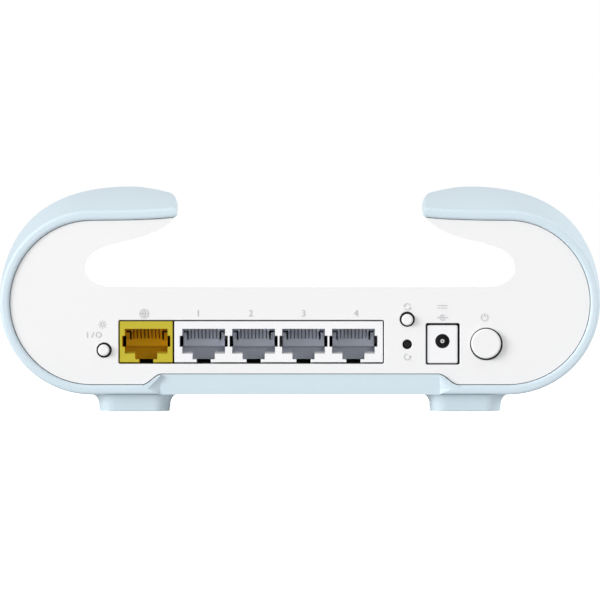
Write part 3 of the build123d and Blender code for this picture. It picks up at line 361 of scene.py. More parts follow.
def make_brushed_group():
    """Fine lines along one direction, as on drawn or brushed metal."""
    group, given, result = new_group(
        "brushed lines",
        (
            ("Color", "Color", (0.7, 0.7, 0.7, 1.0)),
            ("Stretch", "Vector", (900.0, 40.0, 900.0)),
            ("Roughness", "Float", 0.32),
            ("Roughness Range", "Float", 0.2),
        ),
        (("Color", "Color"), ("Roughness", "Float"), ("Height", "Float")),
    )
    scaled = calculate_vector(group, "MULTIPLY", object_place(group), given["Stretch"])
    lines = noise(group, scaled["Vector"], 1.0, detail=4.0)
    swing = calculate(group, "SUBTRACT", lines, NOISE_MIDDLE)
    rough = calculate(group, "MULTIPLY_ADD", swing, given["Roughness Range"], given["Roughness"])
    feed(group, result["Roughness"], rough)
    tone = calculate(group, "MULTIPLY_ADD", swing, LINE_CONTRAST, 1.0)
    feed(group, result["Color"], blend_colours(group, 1.0, given["Color"], tone, "MULTIPLY"))
    feed(group, result["Height"], lines)
    return group


GRAIN = make_grain_group()
RECESS = make_recess_group()
BRUSHED = make_brushed_group()


# Materials


def opaque(colour):
    """A colour with full alpha, as sockets want it."""
    return (*colour, 1.0)


def toned(colour, share):
    """A colour made lighter or darker by a share."""
    return tuple(min(1.0, share * value) for value in colour)


def new_material(name):
    """A node material and its Principled shader."""
    material = bpy.data.materials.new(name)
    material.use_nodes = True
    return material, material.node_tree.nodes["Principled BSDF"]


def place_group(tree, group, **values):
    """A shared group in a material, its inputs named with underscores for spaces."""
    made = add(tree, "ShaderNodeGroup", node_tree=group)
    for name, value in values.items():
        feed(tree, made.inputs[name.replace("_", " ")], value)
    return made


def raise_surface(tree, shader, height, strength):
    """Bump from a height."""
    bump = add(tree, "ShaderNodeBump")
    bump.inputs["Strength"].default_value = strength
    bump.inputs["Distance"].default_value = GRAIN_DEPTH
    feed(tree, bump.inputs["Height"], height)
    feed(tree, shader.inputs["Normal"], bump.outputs["Normal"])


def moulded(name, colour, roughness=0.45, cloud=0.03, grain=2200.0, bump=0.12):
    """Moulded plastic; gives the material, its shader and the grain's outputs."""
    material, shader = new_material(name)
    tree = material.node_tree
    skin = place_group(
        tree, GRAIN, Color=opaque(colour), Roughness=roughness, Cloud=cloud, Grain_Scale=grain
    )
    feed(tree, shader.inputs["Base Color"], skin.outputs["Color"])
    feed(tree, shader.inputs["Roughness"], skin.outputs["Roughness"])
    raise_surface(tree, shader, skin.outputs["Height"], bump)
    return material, shader, skin.outputs


def shade_behind(material, shader, colour, deep, face, depths):
    """Paints shade into a moulded material, towards a darker colour between two depths; gives the shaded
    colour.
    """
    tree = material.node_tree
    start, end = (face + depth for depth in depths)
    shade = place_group(tree, RECESS, Color=colour, Deep_Color=opaque(deep), Start=start, End=end)
    feed(tree, shader.inputs["Base Color"], shade.outputs["Color"])
    return shade.outputs["Color"]


def brushed(name, colour, roughness=0.32, stretch=(900.0, 40.0, 900.0), bump=0.08):
    """Drawn or brushed metal."""
    material, shader = new_material(name)
    tree = material.node_tree
    lines = place_group(tree, BRUSHED, Color=opaque(colour), Roughness=roughness, Stretch=stretch)
    shader.inputs["Metallic"].default_value = 1.0
    feed(tree, shader.inputs["Base Color"], lines.outputs["Color"])
    feed(tree, shader.inputs["Roughness"], lines.outputs["Roughness"])
    raise_surface(tree, shader, lines.outputs["Height"], bump)
    return material, shader, lines.outputs


def round_the_pin(tree, radius):
    """A mask of what lies within a radius of the inlet's axis."""
    apart = calculate_vector(tree, "SUBTRACT", object_place(tree), PIN_CENTRE)
    across = calculate_vector(tree, "MULTIPLY", apart["Vector"], (1.0, 0.0, 1.0))
    away = calculate_vector(tree, "LENGTH", across["Vector"])
    return calculate(tree, "LESS_THAN", away["Value"], radius)


def window_band(tree):
    """A mask of the part of the rear panel that holds the windows, clear of its outer edge, where shade is
    painted into the gaps.
    """
    low = Vector((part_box("led_button")[0][0], 0.0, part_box("lan_sockets")[0][2]))
    high = Vector((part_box("power_button")[1][0], 0.0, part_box("wps_button")[1][2]))
    middle, half = (low + high) / 2, (high - low) / 2
    place = parts_of(tree, object_place(tree))
    across = calculate(tree, "COMPARE", place["X"], middle.x, half.x)
    upright = calculate(tree, "COMPARE", place["Z"], middle.z, half.z)
    return calculate(tree, "MULTIPLY", across, upright)


def dress(material, *nodes):
    """Gives CAD nodes a material."""
    for name in nodes:
        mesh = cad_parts[name].data
        mesh.materials.clear()
        mesh.materials.append(material)


# Print of a circuit board: copies to the metre, shares of a copy, and tones of the solder mask
TRACK_SCALE = 260.0
TRACK_GAP = 0.08
TRACK_TONE = 1.7
TRACK_BUMP = 0.2
PAD_SCALE = 420.0
PAD_SIZE = 0.22
EDGE_TONE = 0.35
GLOSS_SCALE = 900.0
GLOSS_RANGE = 0.2
GLOSS_LEAST = 0.25
FACE_SHARE = 0.5


def circuit_board(name, mask, axis):
    """Solder mask over copper tracks and pads on the faces across an axis, and plain dark edges."""
    material, shader = new_material(name)
    tree = material.node_tree
    place = object_place(tree)
    tracks = add(tree, "ShaderNodeTexBrick")
    feed(tree, tracks.inputs["Vector"], place)
    feed(tree, tracks.inputs["Scale"], TRACK_SCALE)
    feed(tree, tracks.inputs["Mortar Size"], TRACK_GAP)
    pads = add(tree, "ShaderNodeTexVoronoi", feature="F1")
    feed(tree, pads.inputs["Vector"], place)
    feed(tree, pads.inputs["Scale"], PAD_SCALE)
    on_pad = calculate(tree, "LESS_THAN", pads.outputs["Distance"], PAD_SIZE)
    bright = opaque(toned(mask, TRACK_TONE))
    base = blend_colours(tree, tracks.outputs["Fac"], opaque(mask), bright)
    printed = blend_colours(tree, on_pad, base, opaque(COPPER))
    normal = add(tree, "ShaderNodeNewGeometry").outputs["Normal"]
    across = calculate(tree, "ABSOLUTE", parts_of(tree, normal)[axis])
    on_face = calculate(tree, "GREATER_THAN", across, FACE_SHARE)
    edge = opaque(toned(mask, EDGE_TONE))
    feed(tree, shader.inputs["Base Color"], blend_colours(tree, on_face, edge, printed))
    feed(tree, shader.inputs["Metallic"], calculate(tree, "MULTIPLY", on_pad, on_face))
    gloss = noise(tree, place, GLOSS_SCALE)
    rough = calculate(tree, "MULTIPLY_ADD", gloss, GLOSS_RANGE, GLOSS_LEAST)
    feed(tree, shader.inputs["Roughness"], rough)
    raise_surface(tree, shader, tracks.outputs["Fac"], TRACK_BUMP)
    return material


# Building and placing pieces


def add_piece(name, mesh, body):
    """A finished mesh as a piece that moves with a body."""
    piece = bpy.data.objects.new(name, mesh)
    bpy.context.scene.collection.objects.link(piece)
    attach(piece, body)
    return piece


def geometry_tree(name, inputs):
    """An empty Geometry Nodes tree with named inputs; gives the tree, its inputs and its output."""
    tree = bpy.data.node_groups.new(name, "GeometryNodeTree")
    for label, kind in inputs:
        tree.interface.new_socket(name=label, in_out="INPUT", socket_type=f"NodeSocket{kind}")
    tree.interface.new_socket(name="Geometry", in_out="OUTPUT", socket_type="NodeSocketGeometry")
    return tree, tree.nodes.new("NodeGroupInput").outputs, tree.nodes.new("NodeGroupOutput").inputs


def moved(tree, shape, offset):
    """A shape moved by an offset, as a node's output."""
    made = add(tree, "GeometryNodeTransform")
    feed(tree, made.inputs["Geometry"], shape)
    feed(tree, made.inputs["Translation"], offset)
    return made.outputs["Geometry"]


def upright_offset(tree, height, share):
    """A vector that points up by a share of a height."""
    return vector_of(tree, Z=calculate(tree, "MULTIPLY", height, share))


def spread_in_line(tree, shape, count, step):
    """Copies of a shape along x, a step apart and centred."""
    last = calculate(tree, "SUBTRACT", count, 1.0)
    start = calculate(tree, "MULTIPLY", calculate(tree, "MULTIPLY", last, step), -0.5)
    line = add(tree, "GeometryNodeMeshLine")
    feed(tree, line.inputs["Count"], count)
    feed(tree, line.inputs["Start Location"], vector_of(tree, X=start))
    feed(tree, line.inputs["Offset"], vector_of(tree, X=step))
    spread = add(tree, "GeometryNodeInstanceOnPoints")
    feed(tree, spread.inputs["Points"], line.outputs["Mesh"])
    feed(tree, spread.inputs["Instance"], shape)
    return spread.outputs["Instances"]


def finish_tree(tree, shape, material, result):
    """Makes the copies real, gives them their material and ends the tree."""
    real = add(tree, "GeometryNodeRealizeInstances")
    feed(tree, real.inputs["Geometry"], shape)
    coat = add(tree, "GeometryNodeSetMaterial")
    feed(tree, coat.inputs["Geometry"], real.outputs["Geometry"])
    feed(tree, coat.inputs["Material"], material)
    feed(tree, result["Geometry"], coat.outputs["Geometry"])


def mesh_from_tree(name, tree, values, place):
    """Runs a Geometry Nodes tree and gives its result as a plain mesh, moved to its place."""
    host = bpy.data.objects.new(f"{name}_host", bpy.data.meshes.new(f"{name}_host"))
    bpy.context.scene.collection.objects.link(host)
    modifier = host.modifiers.new(name, "NODES")
    modifier.node_group = tree
    for item in tree.interface.items_tree:
        if item.item_type == "SOCKET" and item.in_out == "INPUT":
            modifier[item.identifier] = values[item.name]
    graph = bpy.context.evaluated_depsgraph_get()
    mesh = bpy.data.meshes.new_from_object(host.evaluated_get(graph), depsgraph=graph)
    mesh.name = name
    mesh.transform(Matrix.Translation(place))
    host.modifiers.remove(modifier)
    bpy.data.objects.remove(host)
    return mesh


def make_wedge_tree():
    """Pairs of blocks with a sloping top, in a row."""
    sizes = ("Pitch", "Spacing", "Width", "Depth", "Height", "Drop")
    tree, given, result = geometry_tree(
        "wedge pairs", [("Count", "Int")] + [(size, "Float") for size in sizes] + [("Material", "Material")]
    )
    block = add(tree, "GeometryNodeMeshCube")
    size = vector_of(tree, X=given["Width"], Y=given["Depth"], Z=given["Height"])
    feed(tree, block.inputs["Size"], size)
    place = parts_of(tree, add(tree, "GeometryNodeInputPosition").outputs["Position"])
    in_front = calculate(tree, "LESS_THAN", place["Y"], 0.0)
    on_top = calculate(tree, "GREATER_THAN", place["Z"], 0.0)
    slope = add(tree, "GeometryNodeSetPosition")
    feed(tree, slope.inputs["Geometry"], block.outputs["Mesh"])
    feed(tree, slope.inputs["Selection"], calculate(tree, "MULTIPLY", in_front, on_top))
    feed(tree, slope.inputs["Offset"], upright_offset(tree, given["Drop"], -1.0))
    pair = spread_in_line(tree, slope.outputs["Geometry"], 2, given["Spacing"])
    row = spread_in_line(tree, pair, given["Count"], given["Pitch"])
    finish_tree(tree, row, given["Material"], result)
    return tree


WEDGES = make_wedge_tree()


def wedge_mesh(name, sizes, drop, material, place, count=1, pitch=0.0):
    """A row of wedge pairs, as a plain mesh."""
    values = {
        "Count": count,
        "Pitch": pitch,
        "Spacing": sizes.spacing,
        "Width": sizes.width,
        "Depth": sizes.depth,
        "Height": sizes.height,
        "Drop": drop,
        "Material": material,
    }
    return mesh_from_tree(name, WEDGES, values, place)


class ROUTER_OT_housing(bpy.types.Operator):
    """Finishes the shell, the cover, the rear panel and the rubber feet"""

    bl_idname = "router.housing"
    bl_label = "Housing finish"

    def execute(self, context):
        finish = context.scene.router_finish
        shell, _, _ = moulded("shell_blue", finish.shell_blue, roughness=0.5)
        dress(shell, "outer_shell")
        cover, _, _ = moulded("cover_white", finish.cover_white, roughness=0.42)
        dress(cover, "top_cover")
        panel, shader, skin = moulded("panel_white", finish.cover_white, roughness=0.42)
        tree = panel.node_tree
        # Painted shade: behind its face, the panel darkens to the gap colour inside the window band
        start, end = (PANEL_FACE + depth for depth in PANEL_SHADE)
        recess = place_group(tree, RECESS, Start=start, End=end)
        painted_gap_shade = calculate(tree, "MULTIPLY", recess.outputs["Mask"], window_band(tree))
        shaded = blend_colours(tree, painted_gap_shade, skin["Color"], opaque(finish.gap_painted_shade))
        feed(tree, shader.inputs["Base Color"], shaded)
        dress(panel, "rear_panel")
        rubber, _, _ = moulded("foot_rubber", FOOT_RUBBER, roughness=0.75, cloud=0.12, grain=900.0, bump=0.4)
        dress(rubber, "rubber_feet")
        self.add_tongues(context.scene.router_tongues, shell)
        return {"FINISHED"}

    def add_tongues(self, sizes, material):
        """Tongues on the shell's front rim, which keep light out of the seam above it."""
        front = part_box("outer_shell")[1][1]
        place = Vector((0.0, front - sizes.setback, sizes.foot + sizes.height / 2))
        mesh = wedge_mesh("rim_tongues", sizes, sizes.drop, material, place)
        add_piece("rim_tongues", mesh, "housing")


class ROUTER_OT_buttons(bpy.types.Operator):
    """Finishes the buttons, their stems and the switches behind them"""

    bl_idname = "router.buttons"
    bl_label = "Button finish"

    def execute(self, context):
        finish = context.scene.router_finish
        caps, shader, skin = moulded("button_white", finish.cover_white, roughness=0.36)
        # Painted shade: behind the panel's face, the caps' sides darken to the gap colour
        shade_behind(caps, shader, skin["Color"], finish.gap_painted_shade, PANEL_FACE, BUTTON_SHADE)
        dress(caps, "power_button", "led_button", "wps_button")
        stems, _, _ = moulded("stem_plastic", STEM_BLACK, roughness=0.5, cloud=0.1)
        dress(stems, "power_plunger", "led_stem", "wps_stem", "reset_stem")
        switches, _, _ = moulded("switch_plastic", SWITCH_BLACK, roughness=0.5, cloud=0.2)
        dress(switches, "power_switch", "led_switch", "wps_switch", "reset_switch")
        return {"FINISHED"}


class ROUTER_OT_sockets(bpy.types.Operator):
    """Finishes the network sockets and their contacts, and adds the ramps in their bays"""

    bl_idname = "router.sockets"
    bl_label = "Socket finish"

    def execute(self, context):
        finish = context.scene.router_finish
        for node, count, slot, face, bay in (
            ("wan_socket", 1, "yellow_plastic", finish.wan_yellow, finish.wan_bay_painted_shade),
            ("lan_sockets", LAN_COUNT, "socket_plastic", finish.lan_white, finish.lan_bay_painted_shade),
        ):
            body, shader, skin = moulded(f"{node}_plastic", face, roughness=0.5, grain=FINE_GRAIN)
            shader.inputs["Specular IOR Level"].default_value = SOCKET_SHINE
            # Painted shade: behind its face, the socket's colour turns to the bay colour, and darker again
            # below the ledge
            inside = shade_behind(body, shader, skin["Color"], bay, SOCKET_FACE, BAY_SHADE)
            shade_behind(body, shader, inside, toned(bay, LEDGE_PAINTED_SHADE), SOCKET_FACE, LEDGE_SHADE)
            dress(body, node)
            # Painted shade: the ramps take a darker share of the face and bay colours, for the shade on their
            # slopes
            ramp_shaded_colour = tuple(RAMP_PAINTED_SHADE * (near + far) for near, far in zip(face, bay))
            ramps, shader, _ = moulded(f"{node}_ramp_plastic", ramp_shaded_colour, roughness=0.5, grain=FINE_GRAIN)
            shader.inputs["Specular IOR Level"].default_value = SOCKET_SHINE
            self.add_ramps(context.scene.router_sockets, node, count, slot, ramps)
        # Painted shade: the contact wires are coloured dark, as they look deep in their bays
        wires, _, _ = brushed("contact_bronze", CONTACT_GOLD_PAINTED_SHADE, roughness=0.45)
        dress(wires, "wan_contacts")
        wires, _, _ = brushed("contact_grey", CONTACT_GREY_PAINTED_SHADE, roughness=0.45)
        dress(wires, "lan_contacts")
        return {"FINISHED"}

    def add_ramps(self, sizes, node, count, slot, material):
        """Ramps of one socket body, seated on the floors of its bays."""
        lip = sizes.root / 2
        drop = sizes.height - sizes.root - lip
        bay_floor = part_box(node)[0][2] + sizes.floor
        place = Vector((
            centre_of(node).x,
            SOCKET_FACE + sizes.setback + sizes.depth / 2,
            bay_floor - sizes.root + sizes.height / 2,
        ))
        mesh = wedge_mesh(f"{node}_ramps", sizes, drop, material, place, count, sizes.pitch)
        add_piece(f"{node}_ramps", mesh, "housing")


class ROUTER_OT_inlet(bpy.types.Operator):
    """Finishes the power inlet: white face, bore darkened with painted shade, bright pin with a shaded hole
    painted in its tip
    """

    bl_idname = "router.inlet"
    bl_label = "Inlet finish"

    def execute(self, context):
        finish = context.scene.router_finish
        body, shader, skin = moulded("inlet_white", finish.lan_white, roughness=0.35, grain=FINE_GRAIN)
        tree = body.node_tree
        # Painted shade: the inlet darkens behind its face, and its bore round the pin's axis
        shaded = shade_behind(body, shader, skin["Color"], finish.gap_painted_shade, INLET_FACE, INLET_SHADE)
        in_bore = round_the_pin(tree, BORE_RADIUS)
        bore = opaque(BORE_PAINTED_SHADE)
        feed(tree, shader.inputs["Base Color"], blend_colours(tree, in_bore, shaded, bore))
        dress(body, "power_inlet")
        pin, shader, lines = brushed("pin_nickel", PIN_NICKEL, roughness=0.3)
        tree = pin.node_tree
        # Painted shade: a dark hole in the pin's tip
        in_tip = round_the_pin(tree, PIN_TIP_RADIUS)
        tip = opaque(finish.gap_painted_shade)
        feed(tree, shader.inputs["Base Color"], blend_colours(tree, in_tip, lines["Color"], tip))
        dress(pin, "inlet_pin")
        # Painted shade: the spring is coloured dark, as it looks deep in the bore
        spring, _, _ = brushed("spring_dark", SPRING_PAINTED_SHADE, roughness=0.5)
        dress(spring, "inlet_spring")
        return {"FINISHED"}


class ROUTER_OT_board(bpy.types.Operator):
    """Finishes the boards and what is fixed to them"""

    bl_idname = "router.board"
    bl_label = "Board finish"

    def execute(self, context):
        dress(circuit_board("board_green", BOARD_GREEN, "Z"), "main_board")
        dress(circuit_board("upright_board_green", BOARD_GREEN, "Y"), "button_board")
        chips, _, _ = moulded("chip_black", CHIP_BLACK, roughness=0.55, cloud=0.3, grain=1500.0, bump=0.3)
        dress(chips, "processor", "memory_chip", "flash_chip", "switch_chip")
        dress(chips, "wan_transformer", "lan_transformers")
        pad, _, _ = moulded("pad_silicone", PAD_BLUE, roughness=0.7, cloud=0.2, grain=700.0, bump=0.5)
        dress(pad, "thermal_pad")
        sink, _, _ = brushed("sink_aluminium", SINK_ALUMINIUM, roughness=0.36)
        dress(sink, "heat_sink")
        shields, _, _ = brushed("shield_tin", SHIELD_TIN, roughness=0.28, stretch=(60.0, 700.0, 700.0))
        dress(shields, "left_radio_shield", "right_radio_shield")
        cans, _, _ = brushed("capacitor_can", CAN_GREY, roughness=0.3, stretch=(900.0, 900.0, 60.0))
        dress(cans, "capacitors")
        ferrite, _, _ = moulded("ferrite", FERRITE_GREY, roughness=0.8, cloud=0.4, grain=1200.0, bump=0.6)
        dress(ferrite, "inductors")
        steel, _, _ = brushed(
            "board_screw_steel", BOARD_SCREW_STEEL, roughness=0.3, stretch=(600.0, 600.0, 80.0)
        )
        dress(steel, "board_screws")
        lens, shader, _ = moulded("lens_milk", LENS_MILK, roughness=0.22, cloud=0.02, grain=2500.0, bump=0.03)
        shader.inputs["Transmission Weight"].default_value = LENS_CLEARNESS
        dress(lens, "light_pipe", "status_led")
        return {"FINISHED"}


class ROUTER_OT_antennas(bpy.types.Operator):
    """Finishes the antennas in the wings and their leads"""

    bl_idname = "router.antennas"
    bl_label = "Antenna finish"

    def execute(self, context):
        boards = [f"{side}_{end}_antenna" for side in ("left", "right") for end in ("rear", "front")]
        dress(circuit_board("antenna_teal", ANTENNA_TEAL, "X"), *boards)
        sheath, _, _ = moulded("lead_sheath", SHEATH_BLACK, roughness=0.45, cloud=0.2, grain=1800.0, bump=0.2)
        dress(sheath, *(f"{board}_lead" for board in boards))
        gold, _, _ = brushed("connector_gold", CONNECTOR_GOLD, roughness=0.3)
        dress(gold, "antenna_connectors")
        return {"FINISHED"}


# Shape of a screw: share of the head that is straight, taper of its dome, and sides of the rounds
HEAD_RIM_SHARE = 0.6
DOME_TAPER = 0.78
HEAD_SIDES = 48
SHANK_SIDES = 32


def make_screw_tree():
    """Four pan-head screws at the corners of a rectangle, heads down, seats at height 0."""
    sizes = (
        "Across", "Along", "Head Radius", "Head Height", "Shank Radius", "Shank Length", "Recess Width",
        "Recess Length", "Recess Depth",
    )
    tree, given, result = geometry_tree(
        "housing screws", [(size, "Float") for size in sizes] + [("Material", "Material")]
    )
    rim_height = calculate(tree, "MULTIPLY", given["Head Height"], HEAD_RIM_SHARE)
    dome_height = calculate(tree, "SUBTRACT", given["Head Height"], rim_height)
    rim = add(tree, "GeometryNodeMeshCylinder")
    rim.inputs["Vertices"].default_value = HEAD_SIDES
    feed(tree, rim.inputs["Radius"], given["Head Radius"])
    feed(tree, rim.inputs["Depth"], rim_height)
    rim_shape = moved(tree, rim.outputs["Mesh"], upright_offset(tree, rim_height, -0.5))
    dome = add(tree, "GeometryNodeMeshCone")
    dome.inputs["Vertices"].default_value = HEAD_SIDES
    feed(tree, dome.inputs["Radius Top"], given["Head Radius"])
    feed(tree, dome.inputs["Radius Bottom"], calculate(tree, "MULTIPLY", given["Head Radius"], DOME_TAPER))
    feed(tree, dome.inputs["Depth"], dome_height)
    head_face = upright_offset(tree, given["Head Height"], -1.0)
    dome_shape = moved(tree, dome.outputs["Mesh"], head_face)
    shank = add(tree, "GeometryNodeMeshCylinder")
    shank.inputs["Vertices"].default_value = SHANK_SIDES
    feed(tree, shank.inputs["Radius"], given["Shank Radius"])
    feed(tree, shank.inputs["Depth"], given["Shank Length"])
    shank_shape = moved(tree, shank.outputs["Mesh"], upright_offset(tree, given["Shank Length"], 0.5))
    solid = add(tree, "GeometryNodeMeshBoolean", operation="UNION")
    for shape in (rim_shape, dome_shape, shank_shape):
        feed(tree, solid.inputs["Mesh 2"], shape)
    cut = add(tree, "GeometryNodeMeshBoolean", operation="DIFFERENCE")
    feed(tree, cut.inputs["Mesh 1"], solid.outputs["Mesh"])
    bar_height = calculate(tree, "MULTIPLY", given["Recess Depth"], 2.0)
    for first, second in (("Recess Width", "Recess Length"), ("Recess Length", "Recess Width")):
        bar = add(tree, "GeometryNodeMeshCube")
        feed(tree, bar.inputs["Size"], vector_of(tree, X=given[first], Y=given[second], Z=bar_height))
        feed(tree, cut.inputs["Mesh 2"], moved(tree, bar.outputs["Mesh"], head_face))
    corners = add(tree, "GeometryNodeMeshGrid")
    feed(tree, corners.inputs["Size X"], given["Across"])
    feed(tree, corners.inputs["Size Y"], given["Along"])
    corners.inputs["Vertices X"].default_value = 2
    corners.inputs["Vertices Y"].default_value = 2
    spread = add(tree, "GeometryNodeInstanceOnPoints")
    feed(tree, spread.inputs["Points"], corners.outputs["Mesh"])
    feed(tree, spread.inputs["Instance"], cut.outputs["Mesh"])
    finish_tree(tree, spread.outputs["Instances"], given["Material"], result)
    return tree


class ROUTER_OT_screws(bpy.types.Operator):
    """Makes the housing screws with their cross recesses"""

    bl_idname = "router.screws"
    bl_label = "Housing screws"

    def execute(self, context):
        sizes = context.scene.router_screws
        low, high = (Vector(corner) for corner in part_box("housing_screws"))
        middle = (low + high) / 2
        steel, _, _ = brushed("screw_steel", SCREW_STEEL, roughness=0.28, stretch=(500.0, 500.0, 90.0))
        values = {
            "Across": high.x - low.x - 2 * sizes.head_radius,
            "Along": high.y - low.y - 2 * sizes.head_radius,
            "Head Radius": sizes.head_radius,
            "Head Height": sizes.head_height,
            "Shank Radius": sizes.shank_radius,
            "Shank Length": high.z - low.z - sizes.head_height,
            "Recess Width": sizes.recess_width,
            "Recess Length": sizes.recess_length,
            "Recess Depth": sizes.recess_depth,
            "Material": steel,
        }
        seat = Vector((middle.x, middle.y, low.z + sizes.head_height))
        mesh = mesh_from_tree("cross_head_screws", make_screw_tree(), values, seat)
        piece = add_piece("cross_head_screws", mesh, "housing")
        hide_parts("housing_screws")
        return {"FINISHED"}


# Drawing of the marks: angles in degrees, shares of a size, and how near points are merged
FULL_TURN = 360
ARC_STEPS = 28
ARROW_FLARE = 0.75
DIGIT_SHARE = 0.69
MERGE_DISTANCE = 1e-7


def direction(angle):
    """A unit vector at an angle in degrees."""
    return Vector((math.cos(math.radians(angle)), math.sin(math.radians(angle))))


class Marks:
    """Collects raised lines and patches that lie on the rear panel."""

    def __init__(self, settings):
        self.shape = bmesh.new()
        self.line = settings.line
        self.front = PANEL_FACE - settings.rise
        self.back = PANEL_FACE + settings.root

    def prism(self, outline):
        """A flat patch with the outline's points, (x, z) on the panel."""
        near = [self.shape.verts.new((x, self.front, z)) for x, z in outline]
        far = [self.shape.verts.new((x, self.back, z)) for x, z in outline]
        self.shape.faces.new(near)
        self.shape.faces.new(far[::-1])
        for index in range(len(outline)):
            after = (index + 1) % len(outline)
            self.shape.faces.new((near[index], far[index], far[after], near[after]))

    def bar(self, start, end):
        """A straight line."""
        start, end = Vector(start), Vector(end)
        way = (end - start).normalized() * self.line / 2
        side = Vector((-way.y, way.x))
        self.prism([start + side, end + side, end - side, start - side])

    def arc(self, centre, radius, begin, sweep, squash=1.0, steps=ARC_STEPS):
        """A curved line round a centre, narrower by a squash; a whole turn closes on itself."""
        outer, inner = [], []
        whole = abs(sweep) >= FULL_TURN
        count = steps if whole else steps + 1
        for index in range(count):
            way = direction(begin + sweep * index / steps)
            place = Vector(centre) + Vector((way.x * squash, way.y)) * radius
            outward = Vector((way.x, way.y * squash)).normalized() * self.line / 2
            outer.append(place + outward)
            inner.append(place - outward)
        self.band(outer, inner, whole)

    def band(self, outer, inner, closed):
        """A line between two rows of points."""
        rows = []
        for y in (self.front, self.back):
            for row in (outer, inner):
                rows.append([self.shape.verts.new((point.x, y, point.y)) for point in row])
        near_out, near_in, far_out, far_in = rows
        sides = ((near_out, near_in), (near_in, far_in), (far_in, far_out), (far_out, near_out))
        count = len(outer) if closed else len(outer) - 1
        for index in range(count):
            after = (index + 1) % len(outer)
            for first, second in sides:
                self.shape.faces.new((first[index], first[after], second[after], second[index]))
        if not closed:
            for index in (0, -1):
                self.shape.faces.new((near_out[index], near_in[index], far_in[index], far_out[index]))

    def arrow(self, tip, angle, size):
        """A small arrow head that points along an angle in degrees."""
        way = direction(angle) * size
        side = Vector((-way.y, way.x)) * ARROW_FLARE
        tip = Vector(tip)
        self.prism([tip, tip - way + side, tip - way - side])

    def text(self, words, centre, height):
        """Plain numbers, as a raised mesh."""
        curve = bpy.data.curves.new("number", "FONT")
        curve.body = words
        curve.align_x = "CENTER"
        curve.align_y = "CENTER"
        curve.size = height / DIGIT_SHARE
        curve.extrude = (self.back - self.front) / 2
        host = bpy.data.objects.new("number", curve)
        bpy.context.scene.collection.objects.link(host)
        graph = bpy.context.evaluated_depsgraph_get()
        mesh = bpy.data.meshes.new_from_object(host.evaluated_get(graph), depsgraph=graph)
        stand = Matrix.Rotation(math.pi / 2, 4, "X")
        place = Matrix.Translation((centre[0], (self.front + self.back) / 2, centre[1]))
        mesh.transform(place @ stand)
        self.shape.from_mesh(mesh)
        bpy.data.objects.remove(host)
        bpy.data.meshes.remove(mesh)

    def finish(self, name, material):
        """The collected marks as one mesh."""
        bmesh.ops.remove_doubles(self.shape, verts=self.shape.verts, dist=MERGE_DISTANCE)
        bmesh.ops.recalc_face_normals(self.shape, faces=self.shape.faces)
        mesh = bpy.data.meshes.new(name)
        self.shape.to_mesh(mesh)
        self.shape.free()
        mesh.materials.append(material)
        return mesh


# Where the numbers stand, from the LAN sockets
NUMBER_LIFT = 2.15 * MM
NUMBER_PITCH = 14.73 * MM
NUMBER_SHIFT = -0.42 * MM

# Where the signs stand, to the right of and above the middle or the top of their pieces
GLOBE_SHIFT = -0.55 * MM
LAMP_PLACE = Vector((-0.4, 7.2)) * MM
ON_OFF_PLACE = Vector((-2.6, 4.3)) * MM
PAIRING_PLACE = Vector((0.0, 3.6)) * MM
RESET_PLACE = Vector((0.0, -3.5)) * MM
DIRECT_CURRENT_PLACE = Vector((0.0, 5.1)) * MM
POLARITY_PLACE = Vector((0.0, 2.1)) * MM
POWER_PLACE = Vector((-0.4, 7.3)) * MM

# Size of the signs, number of the lamp's rays, and the arrow heads: their size, and in degrees how far
# their tips lead the end of an arc and how far they turn from it
SIGN_RADIUS = 1.05 * MM
LAMP_RAYS = 8
ARROW_SIZE = 0.5 * SIGN_RADIUS
ARROW_LEAD = 34
ARROW_TURN = 108


def draw_globe(marks, centre):
    """Globe: a ring, a meridian and the equator in three parts."""
    x, z = centre
    radius = 1.15 * SIGN_RADIUS
    marks.arc(centre, radius, 0, FULL_TURN)
    marks.arc(centre, 0.68 * radius, 0, FULL_TURN, squash=0.5)
    for start, end in ((-0.84, -0.5), (-0.2, 0.2), (0.5, 0.84)):
        marks.bar((x + start * radius, z), (x + end * radius, z))


def draw_lamp(marks, centre):
    """Lamp: a small ring with rays."""
    marks.arc(centre, 0.45 * SIGN_RADIUS, 0, FULL_TURN)
    for index in range(LAMP_RAYS):
        way = direction(index * FULL_TURN / LAMP_RAYS) * SIGN_RADIUS
        marks.bar(centre + 0.75 * way, centre + 1.1 * way)


def draw_on_off(marks, centre):
    """On and off: a bar, a slash and a ring."""
    x, z = centre
    half = 0.75 * SIGN_RADIUS
    marks.bar((x - 1.9 * SIGN_RADIUS, z - half), (x - 1.9 * SIGN_RADIUS, z + half))
    marks.bar((x - 0.75 * SIGN_RADIUS, z - half), (x - 0.15 * SIGN_RADIUS, z + half))
    marks.arc((x + 1.1 * SIGN_RADIUS, z), half - marks.line / 2, 0, FULL_TURN)


def draw_turning_arrow(marks, centre, radius, begin, sweep, steps=ARC_STEPS):
    """An arc that ends in an arrow head."""
    marks.arc(centre, radius, begin, sweep, steps=steps)
    end = begin + sweep
    marks.arrow(centre + direction(end + ARROW_LEAD) * radius, end + ARROW_TURN, ARROW_SIZE)


def draw_pairing(marks, centre):
    """Pairing: two arrows chasing each other round a ring."""
    for begin in (30, 210):
        draw_turning_arrow(marks, centre, 0.85 * SIGN_RADIUS, begin, 118, steps=ARC_STEPS // 2)


def draw_reset(marks, centre):
    """Reset: one arrow round most of a ring."""
    draw_turning_arrow(marks, centre, 0.8 * SIGN_RADIUS, 90, 270)


